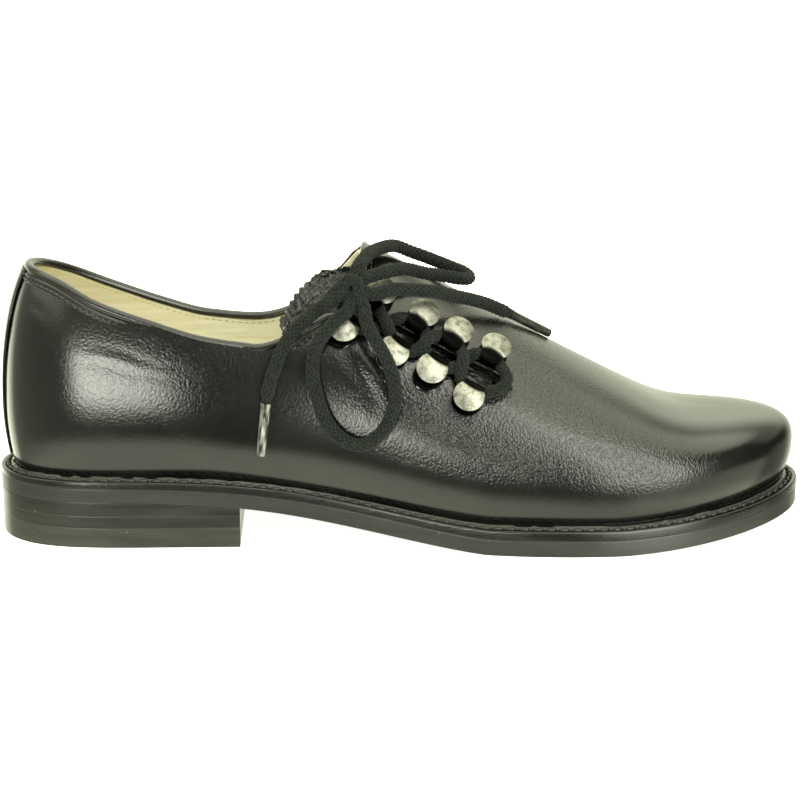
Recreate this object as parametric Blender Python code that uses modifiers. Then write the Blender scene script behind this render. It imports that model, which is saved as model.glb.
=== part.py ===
"""A haferl shoe for the right foot: side-laced leather upper on a welted sole with a stacked heel.

Metres. +X runs to the toe, -Y to the outer side with the lacing, +Z up from the floor.
A place on the upper is given by three numbers. The station is the share of the last's length,
0 at the heel and 1 at the toe. The arch is the share of the way over the foot, 0 at the outer
feather line, 0.5 on the ridge and 1 at the inner feather line. The height is above the leather.
"""

import math

import bmesh
import bpy
import numpy as np
from mathutils import Matrix, Vector

# Driving sizes
LAST_LENGTH = 0.260
BALL_WIDTH = 0.088
UPPER_WALL = 0.0020
TONGUE_WALL = 0.0016
TONGUE_GAP = 0.0009
INSOLE_RISE = 0.0012
FIT_GAP = 0.0003
LACE_DIAMETER = 0.0046
PULLED_LACE_DIAMETER = 0.0042
AGLET_DIAMETER = 0.0026

# Heel stack, from the floor up
HEEL_BREAST = 0.292
HEEL_TAPER = 0.0003
TOP_PIECE_HEIGHT = 0.0065
LOWER_LIFT_HEIGHT = 0.0040

# Lacing hooks, stamped from one strip of sheet metal and bent over
HOOK_SHEET = 0.0009
HOOK_BASE_RADIUS = 0.0058
HOOK_HEAD_RADIUS = 0.0053
HOOK_NECK_WIDTH = 0.0068
HOOK_MOUTH = 0.0050

# The last's poles, between which its ridge runs
HEEL_POLE = 0.030
TOE_POLE = 0.238
POLE_SOFTNESS = 0.008
SKIRT_SHARE = 0.30
TOE_TIP_OFFSET = 0.0035

# Mesh density
PLATE_STATIONS = 40
UPPER_STATIONS = 52
SECTION_GAP = 0.006
STRIP_ROWS = 10
FLAP_ROWS = 5
TONGUE_ROWS = 18
TONGUE_COLUMNS = 8
HOOK_ARC_POINTS = 6
HOOK_BEND_POINTS = 7
HOOK_TIP_ANGLE = math.radians(15)
CORD_STEP = 2.4
CORD_BEVEL = 2
KNOT_SEGMENTS = 12
KNOT_RINGS = 8
SLOPE_STEP = 1e-4
WELD = 1e-5
SHARP_ANGLE = math.radians(40)
HALVINGS = 40

# Share of the arch at the ridge
RIDGE_ARCH = 0.5


def table(columns, *rows):
    """Rows of numbers as a dictionary of named columns."""
    return dict(zip(columns.split(), np.array(rows, float).T))


# Feather line, as shares of the ball width on either side of the axis
OUTLINE = table(
    "station lateral medial",
    (0.05, 0.265, 0.265),
    (0.14, 0.325, 0.325),
    (0.28, 0.335, 0.310),
    (0.42, 0.365, 0.280),
    (0.54, 0.435, 0.325),
    (0.64, 0.492, 0.415),
    (0.72, 0.510, 0.480),
    (0.80, 0.488, 0.495),
    (0.88, 0.410, 0.458),
    (0.95, 0.270, 0.340),
)

# Sole: rise of its underside, where below zero means flat on the floor, and its layers
SOLE = table(
    "station rise outsole welt margin",
    (0.00, 0.0153, 0.0045, 0.0024, 0.0047),
    (0.10, 0.0152, 0.0045, 0.0024, 0.0043),
    (0.20, 0.0146, 0.0046, 0.0026, 0.0039),
    (0.30, 0.0127, 0.0047, 0.0028, 0.0037),
    (0.42, 0.0077, 0.0053, 0.0028, 0.0036),
    (0.54, 0.0021, 0.0052, 0.0030, 0.0042),
    (0.62, -0.0004, 0.0052, 0.0032, 0.0048),
    (0.73, -0.0004, 0.0052, 0.0032, 0.0050),
    (0.84, 0.0014, 0.0052, 0.0032, 0.0050),
    (0.93, 0.0041, 0.0052, 0.0032, 0.0050),
    (1.00, 0.0068, 0.0052, 0.0032, 0.0050),
)

# Ridge of the last, carried on above the collar to the heel
RIDGE = table(
    "station height offset",
    (0.05, 0.1030, 0.0000),
    (0.15, 0.1050, 0.0000),
    (0.30, 0.1035, 0.0010),
    (0.42, 0.0975, 0.0030),
    (0.50, 0.0880, 0.0040),
    (0.60, 0.0738, 0.0045),
    (0.70, 0.0596, 0.0045),
    (0.79, 0.0474, 0.0040),
    (0.86, 0.0395, 0.0035),
    (0.93, 0.0379, 0.0035),
)

# Side walls: how far they swell past the feather line, how high that is, and how full they are
WALL = table(
    "station lateral_bulge medial_bulge widest side_fullness top_fullness",
    (0.00, 0.0022, 0.0022, 0.0200, 0.62, 0.66),
    (0.15, 0.0034, 0.0034, 0.0190, 0.60, 0.58),
    (0.30, 0.0040, 0.0050, 0.0180, 0.55, 0.55),
    (0.45, 0.0045, 0.0070, 0.0170, 0.55, 0.52),
    (0.60, 0.0030, 0.0045, 0.0150, 0.55, 0.50),
    (0.75, 0.0022, 0.0025, 0.0140, 0.60, 0.55),
    (0.88, 0.0023, 0.0023, 0.0130, 0.72, 0.68),
    (1.00, 0.0031, 0.0031, 0.0125, 0.85, 0.75),
)

# Collar heights from the heel to the throat
COLLAR = table(
    "station lateral medial",
    (0.000, 0.0895, 0.0895),
    (0.060, 0.0862, 0.0846),
    (0.120, 0.0794, 0.0785),
    (0.185, 0.0737, 0.0722),
    (0.250, 0.0686, 0.0676),
    (0.310, 0.0662, 0.0664),
    (0.355, 0.0690, 0.0690),
    (0.385, 0.0732, 0.0738),
)

# Throat: its edges as shares of the arch, closing at its front end
QUARTER_EDGE = table(
    "station arch",
    (0.412, 0.307),
    (0.450, 0.304),
    (0.500, 0.299),
    (0.550, 0.289),
    (0.590, 0.280),
    (0.615, 0.282),
    (0.630, 0.298),
)
FLAP_EDGE = table(
    "station arch",
    (0.453, 0.328),
    (0.500, 0.324),
    (0.560, 0.319),
    (0.600, 0.318),
    (0.620, 0.312),
    (0.630, 0.298),
)
FLAP_COLLAR = table(
    "station arch",
    (0.418, 0.656),
    (0.438, 0.602),
    (0.453, 0.545),
)
FLAP_LEAN = 0.013
FLAP_LEAN_END = 0.550
THROAT_START = QUARTER_EDGE["station"][0]
FLAP_PEAK = FLAP_EDGE["station"][0]
THROAT_END = FLAP_EDGE["station"][-1]
THROAT_CORNERS = (THROAT_START, FLAP_PEAK, 0.600, 0.615, THROAT_END)

# Lines in the closed leather between the throat and the toe, where the outer and inner halves meet
TOE_LINE = table("station arch", (0.800, 0.400), (1.000, 0.500))
CROWN_LINE = table("station arch", (0.600, 0.510), (1.000, 0.500))

# Tongue: its lower and upper edges from the front end back to the free end
TONGUE = table(
    "lower_station lower_arch upper_station upper_arch",
    (0.668, 0.262, 0.668, 0.352),
    (0.600, 0.246, 0.612, 0.385),
    (0.500, 0.252, 0.535, 0.405),
    (0.420, 0.262, 0.480, 0.410),
    (0.343, 0.270, 0.432, 0.398),
)

# Hooks of the lower and upper row, from the toe back
LATERAL_HOOKS = table("station arch", (0.573, 0.255), (0.528, 0.273), (0.482, 0.277), (0.422, 0.287))
MEDIAL_HOOKS = table("station arch", (0.605, 0.340), (0.5585, 0.340), (0.5165, 0.343), (0.465, 0.350))

# Lace routes on the upper
KNOT_STATION = 0.427
KNOT_ARCH = 0.331
KNOT_HEIGHT = 0.0122
KNOT_RADII = (0.0052, 0.0048, 0.0045)
LOWER_LOOP = table(
    "station arch height",
    (0.425, 0.302, 0.0113),
    (0.408, 0.282, 0.0110),
    (0.393, 0.262, 0.0084),
    (0.385, 0.241, 0.0044),
    (0.385, 0.222, 0.0032),
    (0.389, 0.205, 0.0030),
    (0.396, 0.187, 0.0030),
    (0.408, 0.171, 0.0030),
    (0.424, 0.162, 0.0030),
    (0.443, 0.161, 0.0030),
    (0.462, 0.173, 0.0030),
    (0.477, 0.194, 0.0032),
    (0.485, 0.218, 0.0048),
    (0.484, 0.240, 0.0088),
    (0.475, 0.258, 0.0106),
    (0.459, 0.277, 0.0110),
    (0.447, 0.294, 0.0112),
    (0.443, 0.308, 0.0118),
)
UPPER_LOOP = table(
    "station arch height",
    (0.432, 0.356, 0.0125),
    (0.442, 0.385, 0.0088),
    (0.455, 0.420, 0.0052),
    (0.471, 0.460, 0.0036),
    (0.488, 0.500, 0.0036),
    (0.506, 0.528, 0.0042),
    (0.524, 0.535, 0.0051),
    (0.541, 0.530, 0.0055),
    (0.558, 0.520, 0.0059),
    (0.571, 0.505, 0.0062),
    (0.575, 0.486, 0.0058),
    (0.559, 0.466, 0.0048),
    (0.540, 0.450, 0.0043),
    (0.511, 0.420, 0.0052),
    (0.490, 0.396, 0.0080),
    (0.472, 0.374, 0.0102),
    (0.457, 0.359, 0.0113),
    (0.446, 0.349, 0.0120),
)
FRONT_END = table(
    "station arch height",
    (0.448, 0.327, 0.0118),
    (0.457, 0.331, 0.0117),
    (0.469, 0.341, 0.0113),
    (0.494, 0.354, 0.0109),
    (0.521, 0.368, 0.0103),
    (0.550, 0.386, 0.0084),
    (0.581, 0.413, 0.0062),
    (0.602, 0.433, 0.0050),
    (0.620, 0.449, 0.0040),
    (0.634, 0.465, 0.0034),
)
FRONT_AGLET = table(
    "station arch height",
    (0.6355, 0.4668, 0.0032),
    (0.661, 0.485, 0.0026),
    (0.691, 0.515, 0.0022),
)
BACK_END = table(
    "station arch height",
    (0.412, 0.315, 0.0114),
    (0.394, 0.300, 0.0092),
    (0.375, 0.284, 0.0058),
    (0.357, 0.264, 0.0038),
    (0.345, 0.242, 0.0031),
    (0.335, 0.216, 0.0030),
    (0.330, 0.199, 0.0030),
    (0.3275, 0.186, 0.0030),
)
BACK_AGLET = table(
    "station arch height",
    (0.327, 0.1832, 0.0028),
    (0.323, 0.154, 0.0022),
    (0.320, 0.095, 0.0021),
)
FRONT_BAR = table("station arch", (0.599, 0.267), (0.620, 0.2975), (0.625, 0.328))
CROSSINGS = 4
CROSSING_HEIGHT = 0.0039
CROSSING_SPREAD = 0.0010
CROSSING_INSET = 0.06

# Colour, roughness and metallic value of each material
MATERIALS = {
    "upper_leather": ((0.012, 0.012, 0.011), 0.38, 0.0),
    "sole_leather": ((0.020, 0.020, 0.018), 0.45, 0.0),
    "heel_rubber": ((0.022, 0.022, 0.020), 0.60, 0.0),
    "insole_leather": ((0.690, 0.640, 0.400), 0.55, 0.0),
    "hook_metal": ((0.620, 0.600, 0.540), 0.30, 1.0),
    "lace_cotton": ((0.020, 0.023, 0.020), 0.90, 0.0),
    "aglet_plastic": ((0.015, 0.015, 0.015), 0.15, 0.0),
}


def smooth(xs, ys):
    """Natural cubic spline through the points."""
    xs = np.asarray(xs, float)
    ys = np.asarray(ys, float)
    count = len(xs)
    gap = np.diff(xs)
    rows = np.eye(count)
    slopes = np.zeros(count)
    for i in range(1, count - 1):
        rows[i, i - 1 : i + 2] = gap[i - 1], 2 * (gap[i - 1] + gap[i]), gap[i]
        slopes[i] = 6 * ((ys[i + 1] - ys[i]) / gap[i] - (ys[i] - ys[i - 1]) / gap[i - 1])
    bend = np.linalg.solve(rows, slopes)

    def at(x):
        x = np.asarray(x, float)
        i = np.clip(np.searchsorted(xs, x) - 1, 0, count - 2)
        p = (xs[i + 1] - x) / gap[i]
        q = (x - xs[i]) / gap[i]
        curve = ((p**3 - p) * bend[i] + (q**3 - q) * bend[i + 1]) * gap[i] ** 2 / 6
        return p * ys[i] + q * ys[i + 1] + curve

    return at


def steady(xs, ys):
    """Cubic through the points that never swings past them."""
    xs = np.asarray(xs, float)
    ys = np.asarray(ys, float)
    rise = np.diff(ys) / np.diff(xs)
    slope = np.concatenate([rise[:1], (rise[:-1] + rise[1:]) / 2, rise[-1:]])
    turning = np.concatenate([[False], rise[:-1] * rise[1:] <= 0, [False]])
    slope[turning] = 0.0
    steepest = 3 * np.minimum(np.abs(np.append(rise[0], rise)), np.abs(np.append(rise, rise[-1])))
    slope = np.clip(slope, -steepest, steepest)

    def at(x):
        x = np.asarray(x, float)
        i = np.clip(np.searchsorted(xs, x) - 1, 0, len(xs) - 2)
        width = xs[i + 1] - xs[i]
        t = (x - xs[i]) / width
        start = (1 + 2 * t) * (1 - t) ** 2 * ys[i] + t * (1 - t) ** 2 * width * slope[i]
        end = t * t * (3 - 2 * t) * ys[i + 1] + t * t * (t - 1) * width * slope[i + 1]
        return start + end

    return at


def turn(station):
    """The turn round the outline at a station: 0 at the heel, 1 at the toe, up to 2 on the inner side."""
    return np.arccos(1 - 2 * np.asarray(station, float)) / math.pi


def station_of(turns):
    """The station at a turn round the outline."""
    return (1 - np.cos(math.pi * np.asarray(turns, float))) / 2


def closed_outline():
    """Sideways place of the feather line as a function of the turn."""
    turns = turn(OUTLINE["station"])
    ring = np.concatenate([[0], turns, [1], 2 - turns[::-1]])
    lateral = -OUTLINE["lateral"] * BALL_WIDTH
    medial = OUTLINE["medial"][::-1] * BALL_WIDTH
    offsets = np.concatenate([[0], lateral, [TOE_TIP_OFFSET], medial])
    return smooth(np.concatenate([ring - 2, ring, ring + 2]), np.tile(offsets, 3))


outline_y = closed_outline()
sole_column = {name: smooth(SOLE["station"], SOLE[name]) for name in SOLE}
ridge_column = {name: smooth(RIDGE["station"], RIDGE[name]) for name in RIDGE}
wall_column = {name: smooth(WALL["station"], WALL[name]) for name in WALL}


def sole_under(turns):
    """Height of the sole's underside."""
    return np.maximum(sole_column["rise"](station_of(turns)), 0.0)


def welt_under(turns):
    """Height of the joint between the outsole and the welt."""
    return sole_under(turns) + sole_column["outsole"](station_of(turns))


def feather_height(turns):
    """Height of the feather line, on top of the welt."""
    return welt_under(turns) + sole_column["welt"](station_of(turns))


def outline(turns, margin=0.0):
    """Plan point on the feather line, moved outwards by a margin."""
    turns = np.asarray(turns, float)
    run = LAST_LENGTH * (station_of(turns + SLOPE_STEP) - station_of(turns - SLOPE_STEP))
    side = outline_y(turns + SLOPE_STEP) - outline_y(turns - SLOPE_STEP)
    size = np.hypot(run, side)
    x = LAST_LENGTH * station_of(turns) + margin * side / size
    return x, outline_y(turns) - margin * run / size


def sole_margin(turns):
    """How far the sole stands out past the feather line."""
    return sole_column["margin"](station_of(turns))


def spine(x):
    """Place on the ridge that a feather point rises to, kept between the two poles."""
    x = HEEL_POLE + POLE_SOFTNESS * np.logaddexp(0, (x - HEEL_POLE) / POLE_SOFTNESS)
    return TOE_POLE - POLE_SOFTNESS * np.logaddexp(0, (TOE_POLE - x) / POLE_SOFTNESS)


def last_point(turns, share):
    """A point on the last: share runs from 0 at the feather line to 1 on the ridge."""
    turns, share = np.broadcast_arrays(np.asarray(turns, float), np.asarray(share, float))
    foot_x, foot_y = outline(turns)
    station = station_of(turns)
    top_x = spine(foot_x)
    top_y = ridge_column["offset"](top_x / LAST_LENGTH)
    top_z = ridge_column["height"](top_x / LAST_LENGTH)
    reach = np.hypot(foot_x - top_x, foot_y - top_y)
    away_x = (foot_x - top_x) / reach
    away_y = (foot_y - top_y) / reach
    lateral = np.mod(turns, 2) < 1
    bulge = np.where(lateral, wall_column["lateral_bulge"](station), wall_column["medial_bulge"](station))
    low_z = feather_height(turns) + FIT_GAP
    wide_z = low_z + wall_column["widest"](station)
    wide = reach + bulge
    skirt = np.clip(share / SKIRT_SHARE, 0, 1)
    rise = np.clip((share - SKIRT_SHARE) / (1 - SKIRT_SHARE), 0, 1)
    first = (1 - rise) ** 3
    second = 3 * rise * (1 - rise) ** 2
    third = 3 * rise**2 * (1 - rise)
    side_z = wide_z + wall_column["side_fullness"](station) * (top_z - wide_z)
    upper_r = wide * (first + second + third * wall_column["top_fullness"](station))
    upper_z = wide_z * first + side_z * second + top_z * (third + rise**3)
    low = share < SKIRT_SHARE
    r = np.where(low, wide - bulge * (1 - skirt) ** 2, upper_r)
    z = np.where(low, low_z + (wide_z - low_z) * skirt, upper_z)
    return np.stack([top_x + away_x * r, top_y + away_y * r, z], -1)


def arch_point(turns, arch):
    """A point on the last at a share of the way over the foot."""
    turns, arch = np.broadcast_arrays(np.asarray(turns, float), np.clip(np.asarray(arch, float), 0, 1))
    lateral = arch <= RIDGE_ARCH
    share = np.where(lateral, arch, 1 - arch) / RIDGE_ARCH
    return last_point(np.where(lateral, turns, 2 - turns), share)


def arch_normal(turns, arch):
    """Unit normal of the last, pointing out."""
    turns = np.asarray(turns, float)
    arch = np.asarray(arch, float)
    forward = arch_point(turns + SLOPE_STEP, arch) - arch_point(turns - SLOPE_STEP, arch)
    over = arch_point(turns, arch + SLOPE_STEP) - arch_point(turns, arch - SLOPE_STEP)
    normal = np.cross(forward, over)
    return normal / np.linalg.norm(normal, axis=-1, keepdims=True)


def on_shoe(station, arch, height=0.0):
    """A point above or below the upper's outer face."""
    turns = turn(station)
    return arch_point(turns, arch) + np.asarray(height)[..., None] * arch_normal(turns, arch)


def arch_at_height(station, height, side):
    """Share of the arch at which the last's side reaches a height."""
    low = np.full(np.shape(station), 0.0)
    high = np.full(np.shape(station), 1.0)
    turns = turn(station) if side == "lateral" else 2 - turn(station)
    for _ in range(HALVINGS):
        middle = (low + high) / 2
        below = last_point(turns, middle)[..., 2] < height
        low = np.where(below, middle, low)
        high = np.where(below, high, middle)
    arch = low * RIDGE_ARCH
    return arch if side == "lateral" else 1 - arch


def quarter_top():
    """Upper edge of the outer quarter: collar, throat edge, then a seamless line on to the toe."""
    collar = arch_at_height(COLLAR["station"], COLLAR["lateral"], "lateral")
    stations = np.concatenate([COLLAR["station"], QUARTER_EDGE["station"], TOE_LINE["station"]])
    return steady(stations, np.concatenate([collar, QUARTER_EDGE["arch"], TOE_LINE["arch"]]))


def crown():
    """Upper edge of the inner quarter: collar up to the flap's peak, then near the ridge to the toe."""
    collar = arch_at_height(COLLAR["station"], COLLAR["medial"], "medial")
    stations = np.concatenate([COLLAR["station"], FLAP_COLLAR["station"], CROWN_LINE["station"]])
    return steady(stations, np.concatenate([collar, FLAP_COLLAR["arch"], CROWN_LINE["arch"]]))


def flap_edge():
    """Lower edge of the flap that the inner quarter carries over the ridge to the throat."""
    stations = np.concatenate([FLAP_EDGE["station"], TOE_LINE["station"]])
    edge = steady(stations, np.concatenate([FLAP_EDGE["arch"], TOE_LINE["arch"]]))
    shared = quarter_top()
    return lambda station: np.where(station < THROAT_END, edge(station), shared(station))


def new_object(name, mesh, material, parent):
    """An object of the shoe with its material, under the shoe's empty."""
    obj = bpy.data.objects.new(name, mesh)
    bpy.data.collections["haferl_shoe"].objects.link(obj)
    obj.data.materials.append(material)
    obj.parent = parent
    return obj


def mesh_from(name, points, faces):
    """A mesh of points and faces with coincident points welded."""
    mesh = bpy.data.meshes.new(name)
    mesh.from_pydata([tuple(p) for p in points], [], faces)
    bm = bmesh.new()
    bm.from_mesh(mesh)
    bmesh.ops.remove_doubles(bm, verts=bm.verts, dist=WELD)
    bm.to_mesh(mesh)
    bm.free()
    mesh.shade_smooth()
    mesh.set_sharp_from_angle(angle=SHARP_ANGLE)
    return mesh


def grid_faces(rows, columns, start=0, flip=False):
    """Quads of a grid of points stored row by row."""
    faces = []
    for i in range(rows - 1):
        for j in range(columns - 1):
            a = start + i * columns + j
            quad = (a, a + columns, a + columns + 1, a + 1)
            faces.append(quad[::-1] if flip else quad)
    return faces


def plate(name, turns, top, bottom, top_margin, bottom_margin):
    """A layer of the sole between two heights, from the heel as far as the turns go."""
    points = []
    for height, margin in ((top, top_margin), (bottom, bottom_margin)):
        for side in (turns, 2 - turns):
            x, y = outline(side, margin(side))
            points += list(np.stack([x, y, height(side)], -1))
    n = len(turns)
    faces = []
    for i in range(n - 1):
        lateral, medial = i, n + i
        low_lateral, low_medial = 2 * n + i, 3 * n + i
        faces.append((lateral, lateral + 1, medial + 1, medial))
        faces.append((low_medial, low_medial + 1, low_lateral + 1, low_lateral))
        faces.append((low_lateral, low_lateral + 1, lateral + 1, lateral))
        faces.append((medial, medial + 1, low_medial + 1, low_medial))
    if turns[-1] < 1:
        faces.append((3 * n - 1, 4 * n - 1, 2 * n - 1, n - 1))
    return mesh_from(name, points, faces)


def ring(name, turns, top, bottom, outer, inner):
    """A strip that runs all round the outline between two margins."""
    points = []
    for margin, height in ((outer, top), (outer, bottom), (inner, bottom), (inner, top)):
        x, y = outline(turns, margin(turns))
        points += list(np.stack([x, y, height(turns)], -1))
    n = len(turns)
    faces = []
    for side in range(4):
        for i in range(n):
            a = side * n + i
            b = side * n + (i + 1) % n
            faces.append((a, (a + n) % (4 * n), (b + n) % (4 * n), b))
    return mesh_from(name, points, faces)


def even(value):
    """A margin or a height that is the same all round the outline."""
    return lambda turns: np.full(np.shape(turns), value)


def raised(height, rise):
    """A height function moved up by a rise."""
    return lambda turns: height(turns) + rise


def build_sole(material, parent):
    """Outsole, welt and insole."""
    turns = np.linspace(0, 1, PLATE_STATIONS)
    outsole = plate("outsole", turns, raised(welt_under, -FIT_GAP), sole_under, sole_margin, sole_margin)
    new_object("outsole", outsole, material["sole_leather"], parent)
    around = np.linspace(0, 2, 2 * PLATE_STATIONS, endpoint=False)
    welt = ring("welt", around, feather_height, welt_under, sole_margin, even(-UPPER_WALL))
    new_object("welt", welt, material["sole_leather"], parent)
    inset = even(-UPPER_WALL - FIT_GAP)
    insole = plate("insole", turns, raised(feather_height, INSOLE_RISE), welt_under, inset, inset)
    new_object("insole", insole, material["insole_leather"], parent)


def build_heel(material, parent):
    """Top piece and two lifts, tapering towards the floor."""
    turns = np.linspace(0, turn(HEEL_BREAST), PLATE_STATIONS // 2)
    stack = float(sole_under(0.0))

    def margin_at(z):
        return lambda w: sole_margin(w) - HEEL_TAPER * (1 - z / stack)

    first = TOP_PIECE_HEIGHT
    second = first + LOWER_LIFT_HEIGHT
    layers = (
        ("heel_top_piece", even(0.0), even(first - FIT_GAP), 0.0, first, "heel_rubber"),
        ("heel_lift_lower", even(first), even(second - FIT_GAP), first, second, "sole_leather"),
        ("heel_lift_upper", even(second), raised(sole_under, -FIT_GAP), second, stack, "sole_leather"),
    )
    for name, bottom, top, low, high, finish in layers:
        mesh = plate(name, turns, top, bottom, margin_at(high), margin_at(low))
        new_object(name, mesh, material[finish], parent)


def upper_stations():
    """Stations of the upper's sections, closer together at the ends and with the throat's own added."""
    regular = station_of(np.linspace(0, 1, UPPER_STATIONS))
    corners = np.array(THROAT_CORNERS)
    clear = np.abs(regular[:, None] - corners[None, :]).min(axis=1) > SECTION_GAP
    return np.sort(np.concatenate([regular[clear], corners]))


def build_upper(material, parent):
    """One leather wall, open at the collar, the throat and underneath."""
    stations = upper_stations()
    quarter, inner, flap = quarter_top(), crown(), flap_edge()
    share = np.linspace(0, 1, STRIP_ROWS + 1)
    points = []
    faces = []
    lateral_arch = quarter(stations)[:, None] * share
    points.append(arch_point(turn(stations)[:, None], lateral_arch))
    medial_arch = 1 - (1 - inner(stations))[:, None] * share
    points.append(arch_point(turn(stations)[:, None], medial_arch))
    front = stations[stations >= FLAP_PEAK]
    down = np.linspace(0, 1, FLAP_ROWS + 1)
    flap_arch = inner(front)[:, None] * (1 - down) + flap(front)[:, None] * down
    lean = FLAP_LEAN * np.clip((FLAP_LEAN_END - front) / (FLAP_LEAN_END - FLAP_PEAK), 0, 1)
    flap_station = front[:, None] - lean[:, None] * down
    points.append(arch_point(turn(flap_station), flap_arch))
    start = 0
    for strip, flip in zip(points, (False, True, True)):
        faces += grid_faces(*strip.shape[:2], start, flip)
        start += strip.shape[0] * strip.shape[1]
    mesh = mesh_from("upper", np.concatenate([p.reshape(-1, 3) for p in points]), faces)
    obj = new_object("upper", mesh, material["upper_leather"], parent)
    wall = obj.modifiers.new("wall", "SOLIDIFY")
    wall.thickness = UPPER_WALL
    wall.offset = -1
    wall.use_even_offset = False


def build_tongue(material, parent):
    """Leather tongue under the throat, free at its back end."""
    rows = np.linspace(0, 1, len(TONGUE["lower_arch"]))
    along = np.linspace(0, 1, TONGUE_ROWS)
    edges = {name: smooth(rows, column)(along) for name, column in TONGUE.items()}
    across = np.linspace(0, 1, TONGUE_COLUMNS)
    station = edges["lower_station"][:, None] * (1 - across) + edges["upper_station"][:, None] * across
    arch = edges["lower_arch"][:, None] * (1 - across) + edges["upper_arch"][:, None] * across
    depth = np.full(np.shape(station), -UPPER_WALL - TONGUE_GAP)
    points = on_shoe(station, arch, depth)
    mesh = mesh_from("tongue", points.reshape(-1, 3), grid_faces(*station.shape, flip=True))
    obj = new_object("tongue", mesh, material["upper_leather"], parent)
    wall = obj.modifiers.new("wall", "SOLIDIFY")
    wall.thickness = TONGUE_WALL
    wall.offset = -1


def hook_mesh():
    """A strip with a round base and a round head, bent over at the neck."""
    half_neck = HOOK_NECK_WIDTH / 2
    base_chord = math.sqrt(HOOK_BASE_RADIUS**2 - half_neck**2)
    head_chord = math.sqrt(HOOK_HEAD_RADIUS**2 - half_neck**2)
    low = FIT_GAP + HOOK_SHEET / 2
    high = low + HOOK_SHEET + HOOK_MOUTH
    bend = (high - low) / 2
    neck = -head_chord
    base_angle = math.pi - math.asin(half_neck / HOOK_BASE_RADIUS)
    head_angle = math.pi - math.asin(half_neck / HOOK_HEAD_RADIUS)
    path = []
    for angle in np.linspace(HOOK_TIP_ANGLE, base_angle, HOOK_ARC_POINTS):
        out = neck + base_chord + HOOK_BASE_RADIUS * math.cos(angle)
        path.append((out, low, HOOK_BASE_RADIUS * math.sin(angle)))
    for angle in np.linspace(0, math.pi, HOOK_BEND_POINTS)[1:-1]:
        path.append((neck - bend * math.sin(angle), low + bend - bend * math.cos(angle), half_neck))
    for angle in np.linspace(head_angle, HOOK_TIP_ANGLE, HOOK_ARC_POINTS):
        path.append((HOOK_HEAD_RADIUS * math.cos(angle), high, HOOK_HEAD_RADIUS * math.sin(angle)))
    points = []
    for out, up, half in path:
        points += [(-half, out, up), (half, out, up)]
    return mesh_from("hook", points, grid_faces(len(path), 2))


def hook_seat(station, arch, partner_station, partner_arch):
    """Frame of a hook: its head reaches away from the partner across the throat, over the leather."""
    here = Vector(on_shoe(station, arch))
    normal = Vector(arch_normal(turn(station), arch))
    away = here - Vector(on_shoe(partner_station, partner_arch))
    out = (away - away.dot(normal) * normal).normalized()
    frame = Matrix((out.cross(normal), out, normal)).transposed().to_4x4()
    frame.translation = here
    return frame


def hook_places():
    """Station and arch of each hook in the lower row and in the upper row, from the toe back."""
    return [np.stack([row["station"], row["arch"]], -1) for row in (LATERAL_HOOKS, MEDIAL_HOOKS)]


def build_hooks(material, parent):
    """Four hooks on each edge of the throat, in pairs across it."""
    mesh = hook_mesh()
    mesh.materials.append(material["hook_metal"])
    lateral, medial = hook_places()
    for row, places, partners in (("lateral", lateral, medial), ("medial", medial, lateral)):
        for number, (place, partner) in enumerate(zip(places, partners), 1):
            hook = bpy.data.objects.new(f"hook_{row}_{number}", mesh)
            bpy.data.collections["haferl_shoe"].objects.link(hook)
            hook.parent = parent
            hook.matrix_local = hook_seat(*place, *partner)
            sheet = hook.modifiers.new("sheet", "SOLIDIFY")
            sheet.thickness = HOOK_SHEET
            sheet.offset = 0


def route_points(route, diameter):
    """Points along a smooth curve through a route's own points, a few diameters apart."""
    knots = on_shoe(route["station"], route["arch"], route["height"])
    return even_points(knots, diameter)


def even_points(knots, diameter):
    """Evenly spaced points on a smooth curve through the knots."""
    lengths = np.concatenate([[0], np.cumsum(np.linalg.norm(np.diff(knots, axis=0), axis=1))])
    curve = [smooth(lengths, knots[:, axis]) for axis in range(3)]
    count = max(3, int(lengths[-1] / (CORD_STEP * diameter)) + 2)
    where = np.linspace(0, lengths[-1], count)
    return np.stack([axis(where) for axis in curve], -1)


def tube(name, points, diameter, collection):
    """A round cord as a curve with filled caps."""
    curve = bpy.data.curves.new(name, "CURVE")
    curve.dimensions = "3D"
    curve.bevel_depth = diameter / 2
    curve.bevel_resolution = CORD_BEVEL
    curve.use_fill_caps = True
    spline = curve.splines.new("POLY")
    spline.points.add(len(points) - 1)
    for point, place in zip(spline.points, points):
        point.co = (*place, 1)
    obj = bpy.data.objects.new(name, curve)
    bpy.data.collections[collection].objects.link(obj)
    return obj


def tube_mesh(obj):
    """The mesh of a tube with its caps welded on; the curve is removed."""
    evaluated = obj.evaluated_get(bpy.context.evaluated_depsgraph_get())
    mesh = bpy.data.meshes.new_from_object(evaluated)
    bm = bmesh.new()
    bm.from_mesh(mesh)
    bmesh.ops.remove_doubles(bm, verts=bm.verts, dist=WELD)
    bm.to_mesh(mesh)
    bm.free()
    bpy.data.objects.remove(obj)
    return mesh


def build_crossings(material, parent):
    """The front bar and three crossings of the lace, each joined where its strands cross."""
    for number in range(CROSSINGS):
        strands = crossing_strands(number)
        meshes = [tube_mesh(tube("strand", points, PULLED_LACE_DIAMETER, "cutters")) for points in strands]
        obj = new_object(f"lace_crossing_{number + 1}", meshes[0], material["lace_cotton"], parent)
        for mesh in meshes[1:]:
            other = bpy.data.objects.new("strand", mesh)
            bpy.data.collections["cutters"].objects.link(other)
            other.parent = parent
            other.hide_render = True
            other.display_type = "WIRE"
            join = obj.modifiers.new("join", "BOOLEAN")
            join.operation = "UNION"
            join.solver = "EXACT"
            join.object = other


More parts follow.
